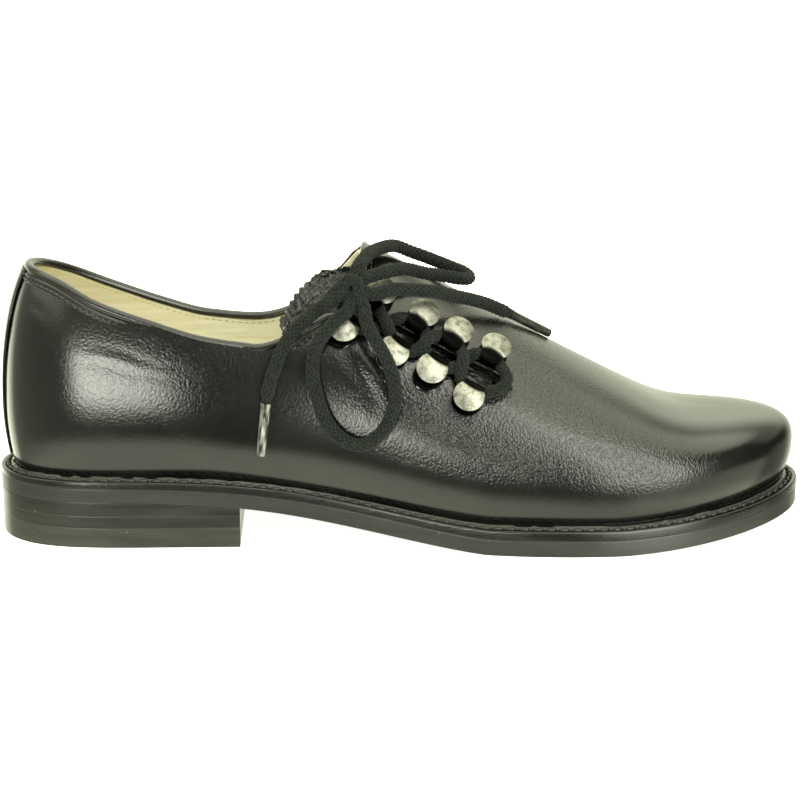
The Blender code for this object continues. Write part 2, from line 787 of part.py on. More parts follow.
def crossing_strands(number):
    """Points of the strands between hook number and the one before it, or of the front bar."""
    lateral, medial = hook_places()
    if number == 0:
        routes = [np.stack([FRONT_BAR["station"], FRONT_BAR["arch"]], -1)]
    else:
        row_low = (lateral[number - 1] + lateral[number]) / 2
        row_high = (medial[number - 1] + medial[number]) / 2
        inset = CROSSING_INSET * (row_high - row_low)
        low, high = row_low + inset, row_high - inset
        middle = (low + high) / 2
        nudge = np.array([CROSSING_SPREAD, 0.0])
        routes = [np.array([low + n, middle, high - n]) for n in (nudge, -nudge)]
    strands = []
    for places in routes:
        heights = np.full(len(places), CROSSING_HEIGHT)
        strands.append(even_points(on_shoe(places[:, 0], places[:, 1], heights), PULLED_LACE_DIAMETER))
    return strands


def build_knot(material, parent):
    """The knot of the bow as a plain rounded body."""
    bm = bmesh.new()
    bmesh.ops.create_uvsphere(bm, u_segments=KNOT_SEGMENTS, v_segments=KNOT_RINGS, radius=1.0)
    bmesh.ops.scale(bm, vec=KNOT_RADII, verts=bm.verts)
    mesh = bpy.data.meshes.new("lace_knot")
    bm.to_mesh(mesh)
    bm.free()
    mesh.shade_smooth()
    knot = new_object("lace_knot", mesh, material["lace_cotton"], parent)
    seat = hook_seat(KNOT_STATION, KNOT_ARCH, KNOT_STATION, RIDGE_ARCH)
    knot.matrix_local = seat @ Matrix.Translation((0, 0, KNOT_HEIGHT))


def build_cords(material, parent):
    """Two loops and two ends of the bow, with the aglets."""
    cords = (
        ("lace_loop_lower", LOWER_LOOP, LACE_DIAMETER, "lace_cotton"),
        ("lace_loop_upper", UPPER_LOOP, LACE_DIAMETER, "lace_cotton"),
        ("lace_end_front", FRONT_END, LACE_DIAMETER, "lace_cotton"),
        ("lace_end_back", BACK_END, LACE_DIAMETER, "lace_cotton"),
        ("aglet_front", FRONT_AGLET, AGLET_DIAMETER, "aglet_plastic"),
        ("aglet_back", BACK_AGLET, AGLET_DIAMETER, "aglet_plastic"),
    )
    for name, route, diameter, finish in cords:
        cord = tube(name, route_points(route, diameter), diameter, "haferl_shoe")
        cord.data.materials.append(material[finish])
        cord.parent = parent


def new_material(name):
    """A plain material of the table's colour, roughness and metallic value."""
    colour, roughness, metallic = MATERIALS[name]
    material = bpy.data.materials.new(name)
    material.use_nodes = True
    shader = material.node_tree.nodes["Principled BSDF"]
    shader.inputs["Base Color"].default_value = (*colour, 1)
    shader.inputs["Roughness"].default_value = roughness
    shader.inputs["Metallic"].default_value = metallic
    return material


def main():
    """Clear the scene and build the shoe, centred on its sole."""
    for obj in list(bpy.data.objects):
        bpy.data.objects.remove(obj)
    for name in ("haferl_shoe", "cutters"):
        collection = bpy.data.collections.new(name)
        bpy.context.scene.collection.children.link(collection)
    shoe = bpy.data.objects.new("shoe", None)
    bpy.data.collections["haferl_shoe"].objects.link(shoe)
    material = {name: new_material(name) for name in MATERIALS}
    build_sole(material, shoe)
    build_heel(material, shoe)
    build_upper(material, shoe)
    build_tongue(material, shoe)
    build_hooks(material, shoe)
    build_crossings(material, shoe)
    build_knot(material, shoe)
    build_cords(material, shoe)
    welt = bpy.data.objects["welt"].data
    places = np.array([vertex.co for vertex in welt.vertices])
    middle = (places.min(axis=0) + places.max(axis=0)) / 2
    shoe.location = (-middle[0], -middle[1], 0.0)


main()
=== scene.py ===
"""Looks of a right-foot haferl shoe: black calf, laced over hooks on its outer side.

Metres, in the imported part's frame: +X to the toe, -Y to the outer side with the lacing, +Z up.
A place on the upper is a station along the last, 0 at the heel and 1 at the toe, a share of the
arch over the foot, 0 at the outer feather line and 1 at the inner one, and a height above the leather.
"""

import logging
import math
from dataclasses import dataclass, field
from enum import Enum
from typing import Callable, ClassVar, Sequence

import bmesh
import bpy
import numpy as np
from mathutils import Matrix, Vector


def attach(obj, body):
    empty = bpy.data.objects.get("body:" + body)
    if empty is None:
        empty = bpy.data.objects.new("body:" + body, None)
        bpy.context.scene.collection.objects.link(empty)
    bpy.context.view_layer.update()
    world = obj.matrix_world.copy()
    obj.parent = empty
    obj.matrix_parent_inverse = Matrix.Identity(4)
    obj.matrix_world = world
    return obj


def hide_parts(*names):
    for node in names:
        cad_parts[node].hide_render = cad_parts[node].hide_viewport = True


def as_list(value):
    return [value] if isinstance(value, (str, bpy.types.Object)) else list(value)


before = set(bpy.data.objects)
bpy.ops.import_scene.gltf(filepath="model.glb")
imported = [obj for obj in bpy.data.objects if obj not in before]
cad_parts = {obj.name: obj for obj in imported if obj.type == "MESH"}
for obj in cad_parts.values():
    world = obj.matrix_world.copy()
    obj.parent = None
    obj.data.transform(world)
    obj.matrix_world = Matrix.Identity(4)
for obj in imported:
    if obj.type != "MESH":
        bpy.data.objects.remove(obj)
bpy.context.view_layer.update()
LOG = logging.getLogger("haferl_shoe")
BODY = "root"
MM = 0.001
METRE_MM = 1000.0

Array = np.ndarray
Curve = Callable[[Array], Array]
Table = dict[str, Array]
Strips = list[tuple[Array, Array]]
Tree = bpy.types.NodeTree
Node = bpy.types.Node
Socket = bpy.types.NodeSocket


def table(columns: str, *rows: Sequence[float]) -> Table:
    """Rows of numbers as named columns."""
    return dict(zip(columns.split(), np.array(rows, float).T))


# Feather line, as shares of the ball width on either side of the axis
OUTLINE = table(
    "station lateral medial",
    (0.05, 0.265, 0.265), (0.14, 0.325, 0.325), (0.28, 0.335, 0.310), (0.42, 0.365, 0.280),
    (0.54, 0.435, 0.325), (0.64, 0.492, 0.415), (0.72, 0.510, 0.480), (0.80, 0.488, 0.495),
    (0.88, 0.410, 0.458), (0.95, 0.270, 0.340),
)
# Sole: rise of its underside, where below zero means flat on the floor, and its layers
SOLE = table(
    "station rise outsole welt margin",
    (0.00, 0.0153, 0.0045, 0.0024, 0.0047), (0.10, 0.0152, 0.0045, 0.0024, 0.0043),
    (0.20, 0.0146, 0.0046, 0.0026, 0.0039), (0.30, 0.0127, 0.0047, 0.0028, 0.0037),
    (0.42, 0.0077, 0.0053, 0.0028, 0.0036), (0.54, 0.0021, 0.0052, 0.0030, 0.0042),
    (0.62, -0.0004, 0.0052, 0.0032, 0.0048), (0.73, -0.0004, 0.0052, 0.0032, 0.0050),
    (0.84, 0.0014, 0.0052, 0.0032, 0.0050), (0.93, 0.0041, 0.0052, 0.0032, 0.0050),
    (1.00, 0.0068, 0.0052, 0.0032, 0.0050),
)
# Ridge of the last, carried on above the collar to the heel
RIDGE = table(
    "station height offset",
    (0.05, 0.1030, 0.0000), (0.15, 0.1050, 0.0000), (0.30, 0.1035, 0.0010), (0.42, 0.0975, 0.0030),
    (0.50, 0.0880, 0.0040), (0.60, 0.0738, 0.0045), (0.70, 0.0596, 0.0045), (0.79, 0.0474, 0.0040),
    (0.86, 0.0395, 0.0035), (0.93, 0.0379, 0.0035),
)
# Side walls: how far they swell past the feather line, how high that is, and how full they are
WALL = table(
    "station lateral_bulge medial_bulge widest side_fullness top_fullness",
    (0.00, 0.0022, 0.0022, 0.0200, 0.62, 0.66), (0.15, 0.0034, 0.0034, 0.0190, 0.60, 0.58),
    (0.30, 0.0040, 0.0050, 0.0180, 0.55, 0.55), (0.45, 0.0045, 0.0070, 0.0170, 0.55, 0.52),
    (0.60, 0.0030, 0.0045, 0.0150, 0.55, 0.50), (0.75, 0.0022, 0.0025, 0.0140, 0.60, 0.55),
    (0.88, 0.0023, 0.0023, 0.0130, 0.72, 0.68), (1.00, 0.0031, 0.0031, 0.0125, 0.85, 0.75),
)
# Collar heights from the heel to the throat
COLLAR = table(
    "station lateral medial",
    (0.000, 0.0895, 0.0895), (0.060, 0.0862, 0.0846), (0.120, 0.0794, 0.0785), (0.185, 0.0737, 0.0722),
    (0.250, 0.0686, 0.0676), (0.310, 0.0662, 0.0664), (0.355, 0.0690, 0.0690), (0.385, 0.0732, 0.0738),
)
# Throat edges as shares of the arch, closing at the front end
QUARTER_EDGE = table(
    "station arch",
    (0.412, 0.307), (0.450, 0.304), (0.500, 0.299), (0.550, 0.289), (0.590, 0.280), (0.615, 0.282),
    (0.630, 0.298),
)
FLAP_EDGE = table(
    "station arch",
    (0.453, 0.328), (0.500, 0.324), (0.560, 0.319), (0.600, 0.318), (0.620, 0.312), (0.630, 0.298),
)
FLAP_COLLAR = table("station arch", (0.418, 0.656), (0.438, 0.602), (0.453, 0.545))
TOE_LINE = table("station arch", (0.800, 0.400), (1.000, 0.500))
CROWN_LINE = table("station arch", (0.600, 0.510), (1.000, 0.500))
FLAP_LEAN = 0.013
FLAP_LEAN_END = 0.550
THROAT_FADE = 0.370
THROAT_START = 0.412
FLAP_PEAK = 0.453
THROAT_END = 0.630
THROAT_CORNERS = (THROAT_START, FLAP_PEAK, 0.600, 0.615, THROAT_END)
# Tongue: its lower and upper edges from the front end back to the free end
TONGUE = table(
    "lower_station lower_arch upper_station upper_arch",
    (0.668, 0.262, 0.668, 0.352), (0.600, 0.246, 0.612, 0.385), (0.500, 0.252, 0.535, 0.405),
    (0.420, 0.262, 0.480, 0.410), (0.343, 0.270, 0.432, 0.398),
)
# Free end of the tongue, along the tips of its scallops
TONGUE_TIPS = table(
    "station arch",
    (0.349, 0.262), (0.345, 0.284), (0.353, 0.303), (0.360, 0.319), (0.374, 0.344), (0.388, 0.363),
    (0.402, 0.378), (0.417, 0.392), (0.434, 0.401),
)
# Hooks of the lower and upper row, from the toe back
LATERAL_HOOKS = table("station arch", (0.573, 0.255), (0.528, 0.273), (0.482, 0.277), (0.422, 0.287))
MEDIAL_HOOKS = table("station arch", (0.605, 0.340), (0.5585, 0.340), (0.5165, 0.343), (0.465, 0.350))
# Lace routes on the upper
LOWER_LOOP = table(
    "station arch height",
    (0.425, 0.302, 0.0113), (0.408, 0.282, 0.0110), (0.393, 0.262, 0.0084), (0.385, 0.241, 0.0044),
    (0.385, 0.222, 0.0032), (0.389, 0.205, 0.0030), (0.396, 0.187, 0.0030), (0.408, 0.171, 0.0030),
    (0.424, 0.162, 0.0030), (0.443, 0.161, 0.0030), (0.462, 0.173, 0.0030), (0.477, 0.194, 0.0032),
    (0.485, 0.218, 0.0048), (0.484, 0.240, 0.0088), (0.475, 0.258, 0.0106), (0.459, 0.277, 0.0110),
    (0.447, 0.294, 0.0112), (0.443, 0.308, 0.0118),
)
UPPER_LOOP = table(
    "station arch height",
    (0.432, 0.356, 0.0125), (0.442, 0.385, 0.0088), (0.455, 0.420, 0.0052), (0.471, 0.460, 0.0036),
    (0.488, 0.500, 0.0036), (0.506, 0.528, 0.0042), (0.524, 0.535, 0.0051), (0.541, 0.530, 0.0055),
    (0.558, 0.520, 0.0059), (0.571, 0.505, 0.0062), (0.575, 0.486, 0.0058), (0.559, 0.466, 0.0048),
    (0.540, 0.450, 0.0043), (0.511, 0.420, 0.0052), (0.490, 0.396, 0.0080), (0.472, 0.374, 0.0102),
    (0.457, 0.359, 0.0113), (0.446, 0.349, 0.0120),
)
FRONT_END = table(
    "station arch height",
    (0.448, 0.327, 0.0118), (0.457, 0.331, 0.0117), (0.469, 0.341, 0.0113), (0.494, 0.354, 0.0109),
    (0.521, 0.368, 0.0103), (0.550, 0.388, 0.0080), (0.581, 0.418, 0.0054), (0.602, 0.440, 0.0040),
    (0.620, 0.458, 0.0030), (0.634, 0.474, 0.0025),
)
FRONT_AGLET = table(
    "station arch height", (0.6335, 0.4738, 0.0024), (0.661, 0.494, 0.0018), (0.691, 0.520, 0.0016)
)
BACK_END = table(
    "station arch height",
    (0.412, 0.315, 0.0114), (0.394, 0.300, 0.0092), (0.375, 0.284, 0.0058), (0.357, 0.264, 0.0038),
    (0.345, 0.242, 0.0031), (0.335, 0.216, 0.0030), (0.330, 0.199, 0.0030), (0.3275, 0.186, 0.0030),
)
BACK_AGLET = table(
    "station arch height", (0.3275, 0.1855, 0.0029), (0.323, 0.154, 0.0022), (0.320, 0.095, 0.0021)
)
# How far each washer sits away from the throat, in millimetres, where it is not the usual 0.9
WASHER_SHIFTS = {"hook_lateral_1": 0.3, "hook_lateral_2": 1.7, "hook_lateral_4": 1.9}
FRONT_BAR = table("station arch", (0.599, 0.267), (0.620, 0.2975), (0.625, 0.328))
# Where the lace bends round a hook's neck, in millimetres in the hook's own frame
HOOK_TURN = (
    (4.8, -4.6, 3.3),
    (2.4, -3.1, 2.8),
    (0.0, -2.6, 2.6),
    (-2.4, -3.1, 2.8),
    (-4.8, -4.6, 3.3),
)
KNOT_STATION = 0.427
KNOT_ARCH = 0.331
KNOT_HEIGHT = 0.0122
RIDGE_ARCH = 0.5
# About how long the arch over the foot is, for flat patterns
ARCH_LENGTH = 0.2


def smooth(xs: Array, ys: Array) -> Curve:
    """Natural cubic spline through points."""
    xs, ys = np.asarray(xs, float), np.asarray(ys, float)
    count, gap = len(xs), np.diff(xs)
    rows, slopes = np.eye(count), np.zeros(count)
    for i in range(1, count - 1):
        rows[i, i - 1 : i + 2] = gap[i - 1], 2 * (gap[i - 1] + gap[i]), gap[i]
        slopes[i] = 6 * ((ys[i + 1] - ys[i]) / gap[i] - (ys[i] - ys[i - 1]) / gap[i - 1])
    bend = np.linalg.solve(rows, slopes)

    def at(x: Array) -> Array:
        """The spline's value."""
        x = np.asarray(x, float)
        i = np.clip(np.searchsorted(xs, x) - 1, 0, count - 2)
        p, q = (xs[i + 1] - x) / gap[i], (x - xs[i]) / gap[i]
        curve = ((p**3 - p) * bend[i] + (q**3 - q) * bend[i + 1]) * gap[i] ** 2 / 6
        return p * ys[i] + q * ys[i + 1] + curve

    return at


def steady(xs: Array, ys: Array) -> Curve:
    """Cubic through points that never swings past them."""
    xs, ys = np.asarray(xs, float), np.asarray(ys, float)
    rise = np.diff(ys) / np.diff(xs)
    slope = np.concatenate([rise[:1], (rise[:-1] + rise[1:]) / 2, rise[-1:]])
    slope[np.concatenate([[False], rise[:-1] * rise[1:] <= 0, [False]])] = 0.0
    steepest = 3 * np.minimum(np.abs(np.append(rise[0], rise)), np.abs(np.append(rise, rise[-1])))
    slope = np.clip(slope, -steepest, steepest)

    def at(x: Array) -> Array:
        """The cubic's value."""
        x = np.asarray(x, float)
        i = np.clip(np.searchsorted(xs, x) - 1, 0, len(xs) - 2)
        width = xs[i + 1] - xs[i]
        t = (x - xs[i]) / width
        start = (1 + 2 * t) * (1 - t) ** 2 * ys[i] + t * (1 - t) ** 2 * width * slope[i]
        return start + t * t * (3 - 2 * t) * ys[i + 1] + t * t * (t - 1) * width * slope[i + 1]

    return at


def ease(value: Array, low: float, high: float) -> Array:
    """Soft step from 0 at low to 1 at high."""
    t = np.clip((np.asarray(value, float) - low) / (high - low), 0, 1)
    return t * t * (3 - 2 * t)


def unit(vectors: Array) -> Array:
    """Vectors scaled to length one."""
    return vectors / np.linalg.norm(vectors, axis=-1, keepdims=True)


class Side(Enum):
    """The two sides of the foot."""

    LATERAL = "lateral"
    MEDIAL = "medial"


@dataclass
class Last:
    """The form that the shoe is made on, and the sole's heights along it."""

    length: float = 0.260
    ball_width: float = 0.088
    heel_pole: float = 0.030
    toe_pole: float = 0.238
    pole_softness: float = 0.008
    skirt_share: float = 0.30
    toe_tip_offset: float = 0.0035
    fit_gap: float = 0.0003
    slope_step: float = 1e-4
    shift: tuple[float, float, float] = (-0.13055, 0.000629, 0.0)
    sole: dict[str, Curve] = field(init=False)
    ridge: dict[str, Curve] = field(init=False)
    wall: dict[str, Curve] = field(init=False)
    feather_y: Curve = field(init=False)

    def __post_init__(self) -> None:
        """Fit the curves through the tables."""
        self.sole = {name: smooth(SOLE["station"], SOLE[name]) for name in SOLE}
        self.ridge = {name: smooth(RIDGE["station"], RIDGE[name]) for name in RIDGE}
        self.wall = {name: smooth(WALL["station"], WALL[name]) for name in WALL}
        turns = self.turn(OUTLINE["station"])
        ring = np.concatenate([[0], turns, [1], 2 - turns[::-1]])
        lateral = -OUTLINE["lateral"] * self.ball_width
        medial = OUTLINE["medial"][::-1] * self.ball_width
        offsets = np.concatenate([[0], lateral, [self.toe_tip_offset], medial])
        self.feather_y = smooth(np.concatenate([ring - 2, ring, ring + 2]), np.tile(offsets, 3))

    def turn(self, station: Array) -> Array:
        """Turn round the outline at a station: 0 at the heel, 1 at the toe."""
        return np.arccos(1 - 2 * np.clip(np.asarray(station, float), 0, 1)) / math.pi

    def station(self, turns: Array) -> Array:
        """Station at a turn round the outline."""
        return (1 - np.cos(math.pi * np.asarray(turns, float))) / 2

    def sole_under(self, turns: Array) -> Array:
        """Height of the sole's underside."""
        return np.maximum(self.sole["rise"](self.station(turns)), 0.0)

    def welt_under(self, turns: Array) -> Array:
        """Height of the joint between outsole and welt."""
        return self.sole_under(turns) + self.sole["outsole"](self.station(turns))

    def feather(self, turns: Array) -> Array:
        """Height of the feather line, on top of the welt."""
        return self.welt_under(turns) + self.sole["welt"](self.station(turns))

    def margin(self, turns: Array) -> Array:
        """How far the sole stands out past the feather line."""
        return self.sole["margin"](self.station(turns))

    def plan(self, turns: Array, margin: Array = 0.0) -> tuple[Array, Array]:
        """Plan point on the feather line moved outwards, before the shift to the part's frame.

        Args:
            turns: Places round the outline.
            margin: Distance outwards, in metres.

        Returns:
            The x and y of each place.
        """
        turns = np.asarray(turns, float)
        step = self.slope_step
        run = self.length * (self.station(turns + step) - self.station(turns - step))
        side = self.feather_y(turns + step) - self.feather_y(turns - step)
        size = np.hypot(run, side)
        x = self.length * self.station(turns) + margin * side / size
        return x, self.feather_y(turns) - margin * run / size

    def edge(self, turns: Array, margin: Array, height: Array) -> Array:
        """Points round the sole at a margin and a height, in the part's frame."""
        x, y = self.plan(turns, margin)
        x, y, z = np.broadcast_arrays(x, y, height)
        return np.stack([x, y, z], -1) + self.shift

    def surface(self, turns: Array, share: Array) -> Array:
        """A point on the form before the shift: share is 0 at the feather line and 1 on the ridge."""
        turns, share = np.broadcast_arrays(np.asarray(turns, float), np.asarray(share, float))
        foot_x, foot_y = self.plan(turns)
        station = self.station(turns)
        soft = self.pole_softness
        top_x = self.heel_pole + soft * np.logaddexp(0, (foot_x - self.heel_pole) / soft)
        top_x = self.toe_pole - soft * np.logaddexp(0, (self.toe_pole - top_x) / soft)
        top_y = self.ridge["offset"](top_x / self.length)
        top_z = self.ridge["height"](top_x / self.length)
        reach = np.hypot(foot_x - top_x, foot_y - top_y)
        lateral = np.mod(turns, 2) < 1
        bulge = np.where(lateral, self.wall["lateral_bulge"](station), self.wall["medial_bulge"](station))
        low_z = self.feather(turns) + self.fit_gap
        wide_z = low_z + self.wall["widest"](station)
        wide = reach + bulge
        skirt = np.clip(share / self.skirt_share, 0, 1)
        rise = np.clip((share - self.skirt_share) / (1 - self.skirt_share), 0, 1)
        first, second, third = (1 - rise) ** 3, 3 * rise * (1 - rise) ** 2, 3 * rise**2 * (1 - rise)
        side_z = wide_z + self.wall["side_fullness"](station) * (top_z - wide_z)
        upper_r = wide * (first + second + third * self.wall["top_fullness"](station))
        upper_z = wide_z * first + side_z * second + top_z * (third + rise**3)
        low = share < self.skirt_share
        r = np.where(low, wide - bulge * (1 - skirt) ** 2, upper_r)
        z = np.where(low, low_z + (wide_z - low_z) * skirt, upper_z)
        return np.stack([top_x + (foot_x - top_x) / reach * r, top_y + (foot_y - top_y) / reach * r, z], -1)

    def over(self, turns: Array, arch: Array) -> Array:
        """A point on the form at a turn and a share of the arch, before the shift."""
        turns, arch = np.broadcast_arrays(np.asarray(turns, float), np.clip(np.asarray(arch, float), 0, 1))
        lateral = arch <= RIDGE_ARCH
        share = np.where(lateral, arch, 1 - arch) / RIDGE_ARCH
        return self.surface(np.where(lateral, turns, 2 - turns), share)

    def normal(self, station: Array, arch: Array) -> Array:
        """Unit normal of the form, pointing out."""
        turns, arch, step = np.minimum(self.turn(station), 0.9995), np.asarray(arch, float), self.slope_step
        forward = self.over(turns + step, arch) - self.over(turns - step, arch)
        across = self.over(turns, arch + step) - self.over(turns, arch - step)
        return unit(np.cross(forward, across))

    def place(self, station: Array, arch: Array, height: Array = 0.0) -> Array:
        """A point above or below the upper's outer face, in the part's frame.

        Args:
            station: Share of the last's length.
            arch: Share of the way over the foot.
            height: Distance above the leather, in metres.

        Returns:
            Points with the broadcast shape of the arguments.
        """
        station, arch, height = np.broadcast_arrays(*(np.asarray(v, float) for v in (station, arch, height)))
        lifted = height[..., None] * self.normal(station, arch)
        return self.over(self.turn(station), arch) + lifted + self.shift

    def arch_at(self, station: Array, height: Array, side: Side) -> Array:
        """Share of the arch at which one side of the form reaches a height."""
        low, high = np.zeros(np.shape(station)), np.ones(np.shape(station))
        turns = self.turn(station) if side is Side.LATERAL else 2 - self.turn(station)
        for _ in range(40):
            middle = (low + high) / 2
            below = self.surface(turns, middle)[..., 2] < height
            low, high = np.where(below, middle, low), np.where(below, high, middle)
        arch = low * RIDGE_ARCH
        return arch if side is Side.LATERAL else 1 - arch

    def quarter_top(self) -> Curve:
        """Upper edge of the outer quarter: collar, throat edge, then a line on to the toe."""
        collar = self.arch_at(COLLAR["station"], COLLAR["lateral"], Side.LATERAL)
        stations = np.concatenate([COLLAR["station"], QUARTER_EDGE["station"], TOE_LINE["station"]])
        return steady(stations, np.concatenate([collar, QUARTER_EDGE["arch"], TOE_LINE["arch"]]))

    def crown(self) -> Curve:
        """Upper edge of the inner quarter: collar to the flap's peak, then near the ridge to the toe."""
        collar = self.arch_at(COLLAR["station"], COLLAR["medial"], Side.MEDIAL)
        stations = np.concatenate([COLLAR["station"], FLAP_COLLAR["station"], CROWN_LINE["station"]])
        return steady(stations, np.concatenate([collar, FLAP_COLLAR["arch"], CROWN_LINE["arch"]]))

    def flap_edge(self) -> Curve:
        """Lower edge of the flap that the inner quarter carries over the ridge to the throat."""
        stations = np.concatenate([FLAP_EDGE["station"], TOE_LINE["station"]])
        edge = steady(stations, np.concatenate([FLAP_EDGE["arch"], TOE_LINE["arch"]]))
        shared = self.quarter_top()
        return lambda station: np.where(station < THROAT_END, edge(station), shared(station))


def grid_quads(rows: int, columns: int, wrap_rows: bool = False, wrap_columns: bool = False) -> list[tuple]:
    """Quads of a grid of points stored row by row, closed on itself where asked.

    Args:
        rows: Number of rows of points.
        columns: Number of points in a row.
        wrap_rows: Join the last row to the first.
        wrap_columns: Join the last column to the first.

    Returns:
        Faces as tuples of point numbers.
    """
    i = np.arange(rows if wrap_rows else rows - 1)[:, None]
    j = np.arange(columns if wrap_columns else columns - 1)[None, :]
    a, b = i * columns + j, (i + 1) % rows * columns + j
    c, d = (i + 1) % rows * columns + (j + 1) % columns, i * columns + (j + 1) % columns
    return [tuple(q) for q in np.stack([a, b, c, d], -1).reshape(-1, 4).tolist()]


class Faces(Enum):
    """How a mesh's faces are made to point outwards."""

    AS_BUILT = 0
    CLOSED = 1
    FLIPPED = 2


def plain_mesh(
    name: str,
    points: Array,
    faces: list[tuple],
    turned: Faces = Faces.AS_BUILT,
    uv: Array | None = None,
    marks: dict[str, Array] | None = None,
    sharp: float = 50.0,
    weld: float = 1e-6,
) -> bpy.types.Mesh:
    """A smooth-shaded mesh with welded points.

    Args:
        name: Name of the mesh.
        points: Points as rows.
        faces: Faces as tuples of point numbers.
        turned: How the faces are turned.
        uv: Flat coordinates of each point.
        marks: Numbers stored on each point, by attribute name.
        sharp: Angle in degrees past which an edge is drawn sharp.
        weld: Distance under which points are merged.

    Returns:
        The mesh.
    """
    mesh = bpy.data.meshes.new(name)
    if turned is Faces.FLIPPED:
        faces = [face[::-1] for face in faces]
    mesh.from_pydata(np.asarray(points, float).tolist(), [], faces)
    if uv is not None:
        corners = np.zeros(len(mesh.loops), np.int32)
        mesh.loops.foreach_get("vertex_index", corners)
        mesh.uv_layers.new(name="flat").data.foreach_set("uv", np.asarray(uv, np.float32)[corners].ravel())
    for key, values in (marks or {}).items():
        stored = mesh.attributes.new(key, "FLOAT", "POINT")
        stored.data.foreach_set("value", np.asarray(values, np.float32).ravel())
    bm = bmesh.new()
    bm.from_mesh(mesh)
    bmesh.ops.remove_doubles(bm, verts=bm.verts, dist=weld)
    bmesh.ops.dissolve_degenerate(bm, dist=weld, edges=bm.edges)
    if turned is Faces.CLOSED:
        bmesh.ops.recalc_face_normals(bm, faces=bm.faces)
    bm.to_mesh(mesh)
    bm.free()
    mesh.shade_smooth()
    mesh.set_sharp_from_angle(angle=math.radians(sharp))
    return mesh


def sweep(path: Array, across: Array, up: Array, profile: Array) -> tuple[Array, list[tuple]]:
    """A closed profile carried along an open path, with end faces.

    Args:
        path: Points of the path.
        across: First axis of the profile at each point.
        up: Second axis of the profile at each point.
        profile: Closed profile at each point.

    Returns:
        Points and faces.
    """
    rings = path[:, None] + profile[..., :1] * across[:, None] + profile[..., 1:] * up[:, None]
    rows, columns = rings.shape[:2]
    faces = grid_quads(rows, columns, wrap_columns=True)
    faces.append(tuple(range(columns)))
    faces.append(tuple(range(rows * columns - 1, (rows - 1) * columns - 1, -1)))
    return rings.reshape(-1, 3), faces


def distances(path: Array) -> Array:
    """Distance along a path at each of its points."""
    return np.concatenate([[0], np.cumsum(np.linalg.norm(np.diff(path, axis=0), axis=1))])


def even_path(knots: Array, step: float) -> Array:
    """Evenly spaced points on a smooth curve through knots."""
    lengths = distances(knots)
    curve = [smooth(lengths, knots[:, axis]) for axis in range(3)]
    fine = np.stack([axis(np.linspace(0, lengths[-1], 20 * len(knots))) for axis in curve], -1)
    run = distances(fine)
    where = np.linspace(0, run[-1], max(4, round(run[-1] / step) + 1))
    return np.stack([np.interp(where, run, fine[:, axis]) for axis in range(3)], -1)


def path_length(path: Array) -> float:
    """Length of a path of points."""
    return float(np.linalg.norm(np.diff(path, axis=0), axis=1).sum())


def tangents(path: Array) -> Array:
    """Unit directions along a path."""
    return unit(np.gradient(path, axis=0))


def spokes(angle: Array, side: Array, other: Array) -> Array:
    """Unit directions out of a path at each angle round it."""
    return np.cos(angle)[None, :, None] * side[:, None] + np.sin(angle)[None, :, None] * other[:, None]


def linear(colour: str) -> tuple[float, float, float, float]:
    """Linear colour from sRGB hex."""
    parts = [int(colour.lstrip("#")[i : i + 2], 16) / 255 for i in (0, 2, 4)]
    parts = [p / 12.92 if p <= 0.04045 else ((p + 0.055) / 1.055) ** 2.4 for p in parts]
    return (*parts, 1.0)


def feed(node: Node, inputs: dict) -> Node:
    """Link or set a node's inputs, by name or number, and hand the node back."""
    for key, value in inputs.items():
        if isinstance(value, Socket):
            node.id_data.links.new(value, node.inputs[key])
        else:
            node.inputs[key].default_value = value
    return node


def add(tree: Tree, kind: str, inputs: dict | None = None, **settings: object) -> Node:
    """A node with its settings and inputs.

    Args:
        tree: The tree that takes the node.
        kind: Blender's name of the node type.
        inputs: Input sockets by name or number, each with a value or an output socket to link.
        settings: Properties of the node.

    Returns:
        The node.
    """
    node = tree.nodes.new(kind)
    for key, value in settings.items():
        setattr(node, key, value)
    return feed(node, inputs or {})


def maths(tree: Tree, operation: str, *values: Socket | float, **settings: object) -> Socket:
    """Result of a sum on values."""
    return add(tree, "ShaderNodeMath", dict(enumerate(values)), operation=operation, **settings).outputs[0]


def here(tree: Tree) -> Socket:
    """Place on the piece, in metres."""
    return add(tree, "ShaderNodeTexCoord").outputs["Object"]


def flat_place(tree: Tree) -> Socket:
    """Place on the piece's flat pattern."""
    return add(tree, "ShaderNodeUVMap", uv_map="flat").outputs["UV"]


def mark(tree: Tree, name: str) -> Socket:
    """A number stored on the mesh."""
    return add(tree, "ShaderNodeAttribute", attribute_name=name).outputs["Fac"]


def cells(tree: Tree, place: Socket, *sizes: float, **inputs: object) -> Socket:
    """A place counted in cells of the given sizes, in millimetres."""
    scale = tuple(1 / (size * MM) for size in sizes)
    return add(tree, "ShaderNodeMapping", {"Vector": place, "Scale": scale, **inputs}).outputs[0]


def cloud(tree: Tree, place: Socket, detail: float, size: float = METRE_MM, **inputs: float) -> Socket:
    """Soft random spots.

    Args:
        tree: The material's tree.
        place: Where to look.
        detail: Number of finer layers.
        size: Distance between spots in millimetres; left out for a place already counted in cells.
        inputs: Further inputs of the noise.

    Returns:
        The socket with the spots' strength.
    """
    links = {"Vector": place, "Scale": 1 / (size * MM), "Detail": detail, **inputs}
    return add(tree, "ShaderNodeTexNoise", links).outputs["Fac"]


def bump(
    tree: Tree,
    height: Socket,
    depth: float,
    strength: Socket | float,
    under: Socket | None = None,
    invert: bool = False,
) -> Socket:
    """Normal bent by a height, over another normal where one is given."""
    inputs = {"Height": height, "Distance": depth, "Strength": strength}
    if under is not None:
        inputs["Normal"] = under
    return add(tree, "ShaderNodeBump", inputs, invert=invert).outputs[0]


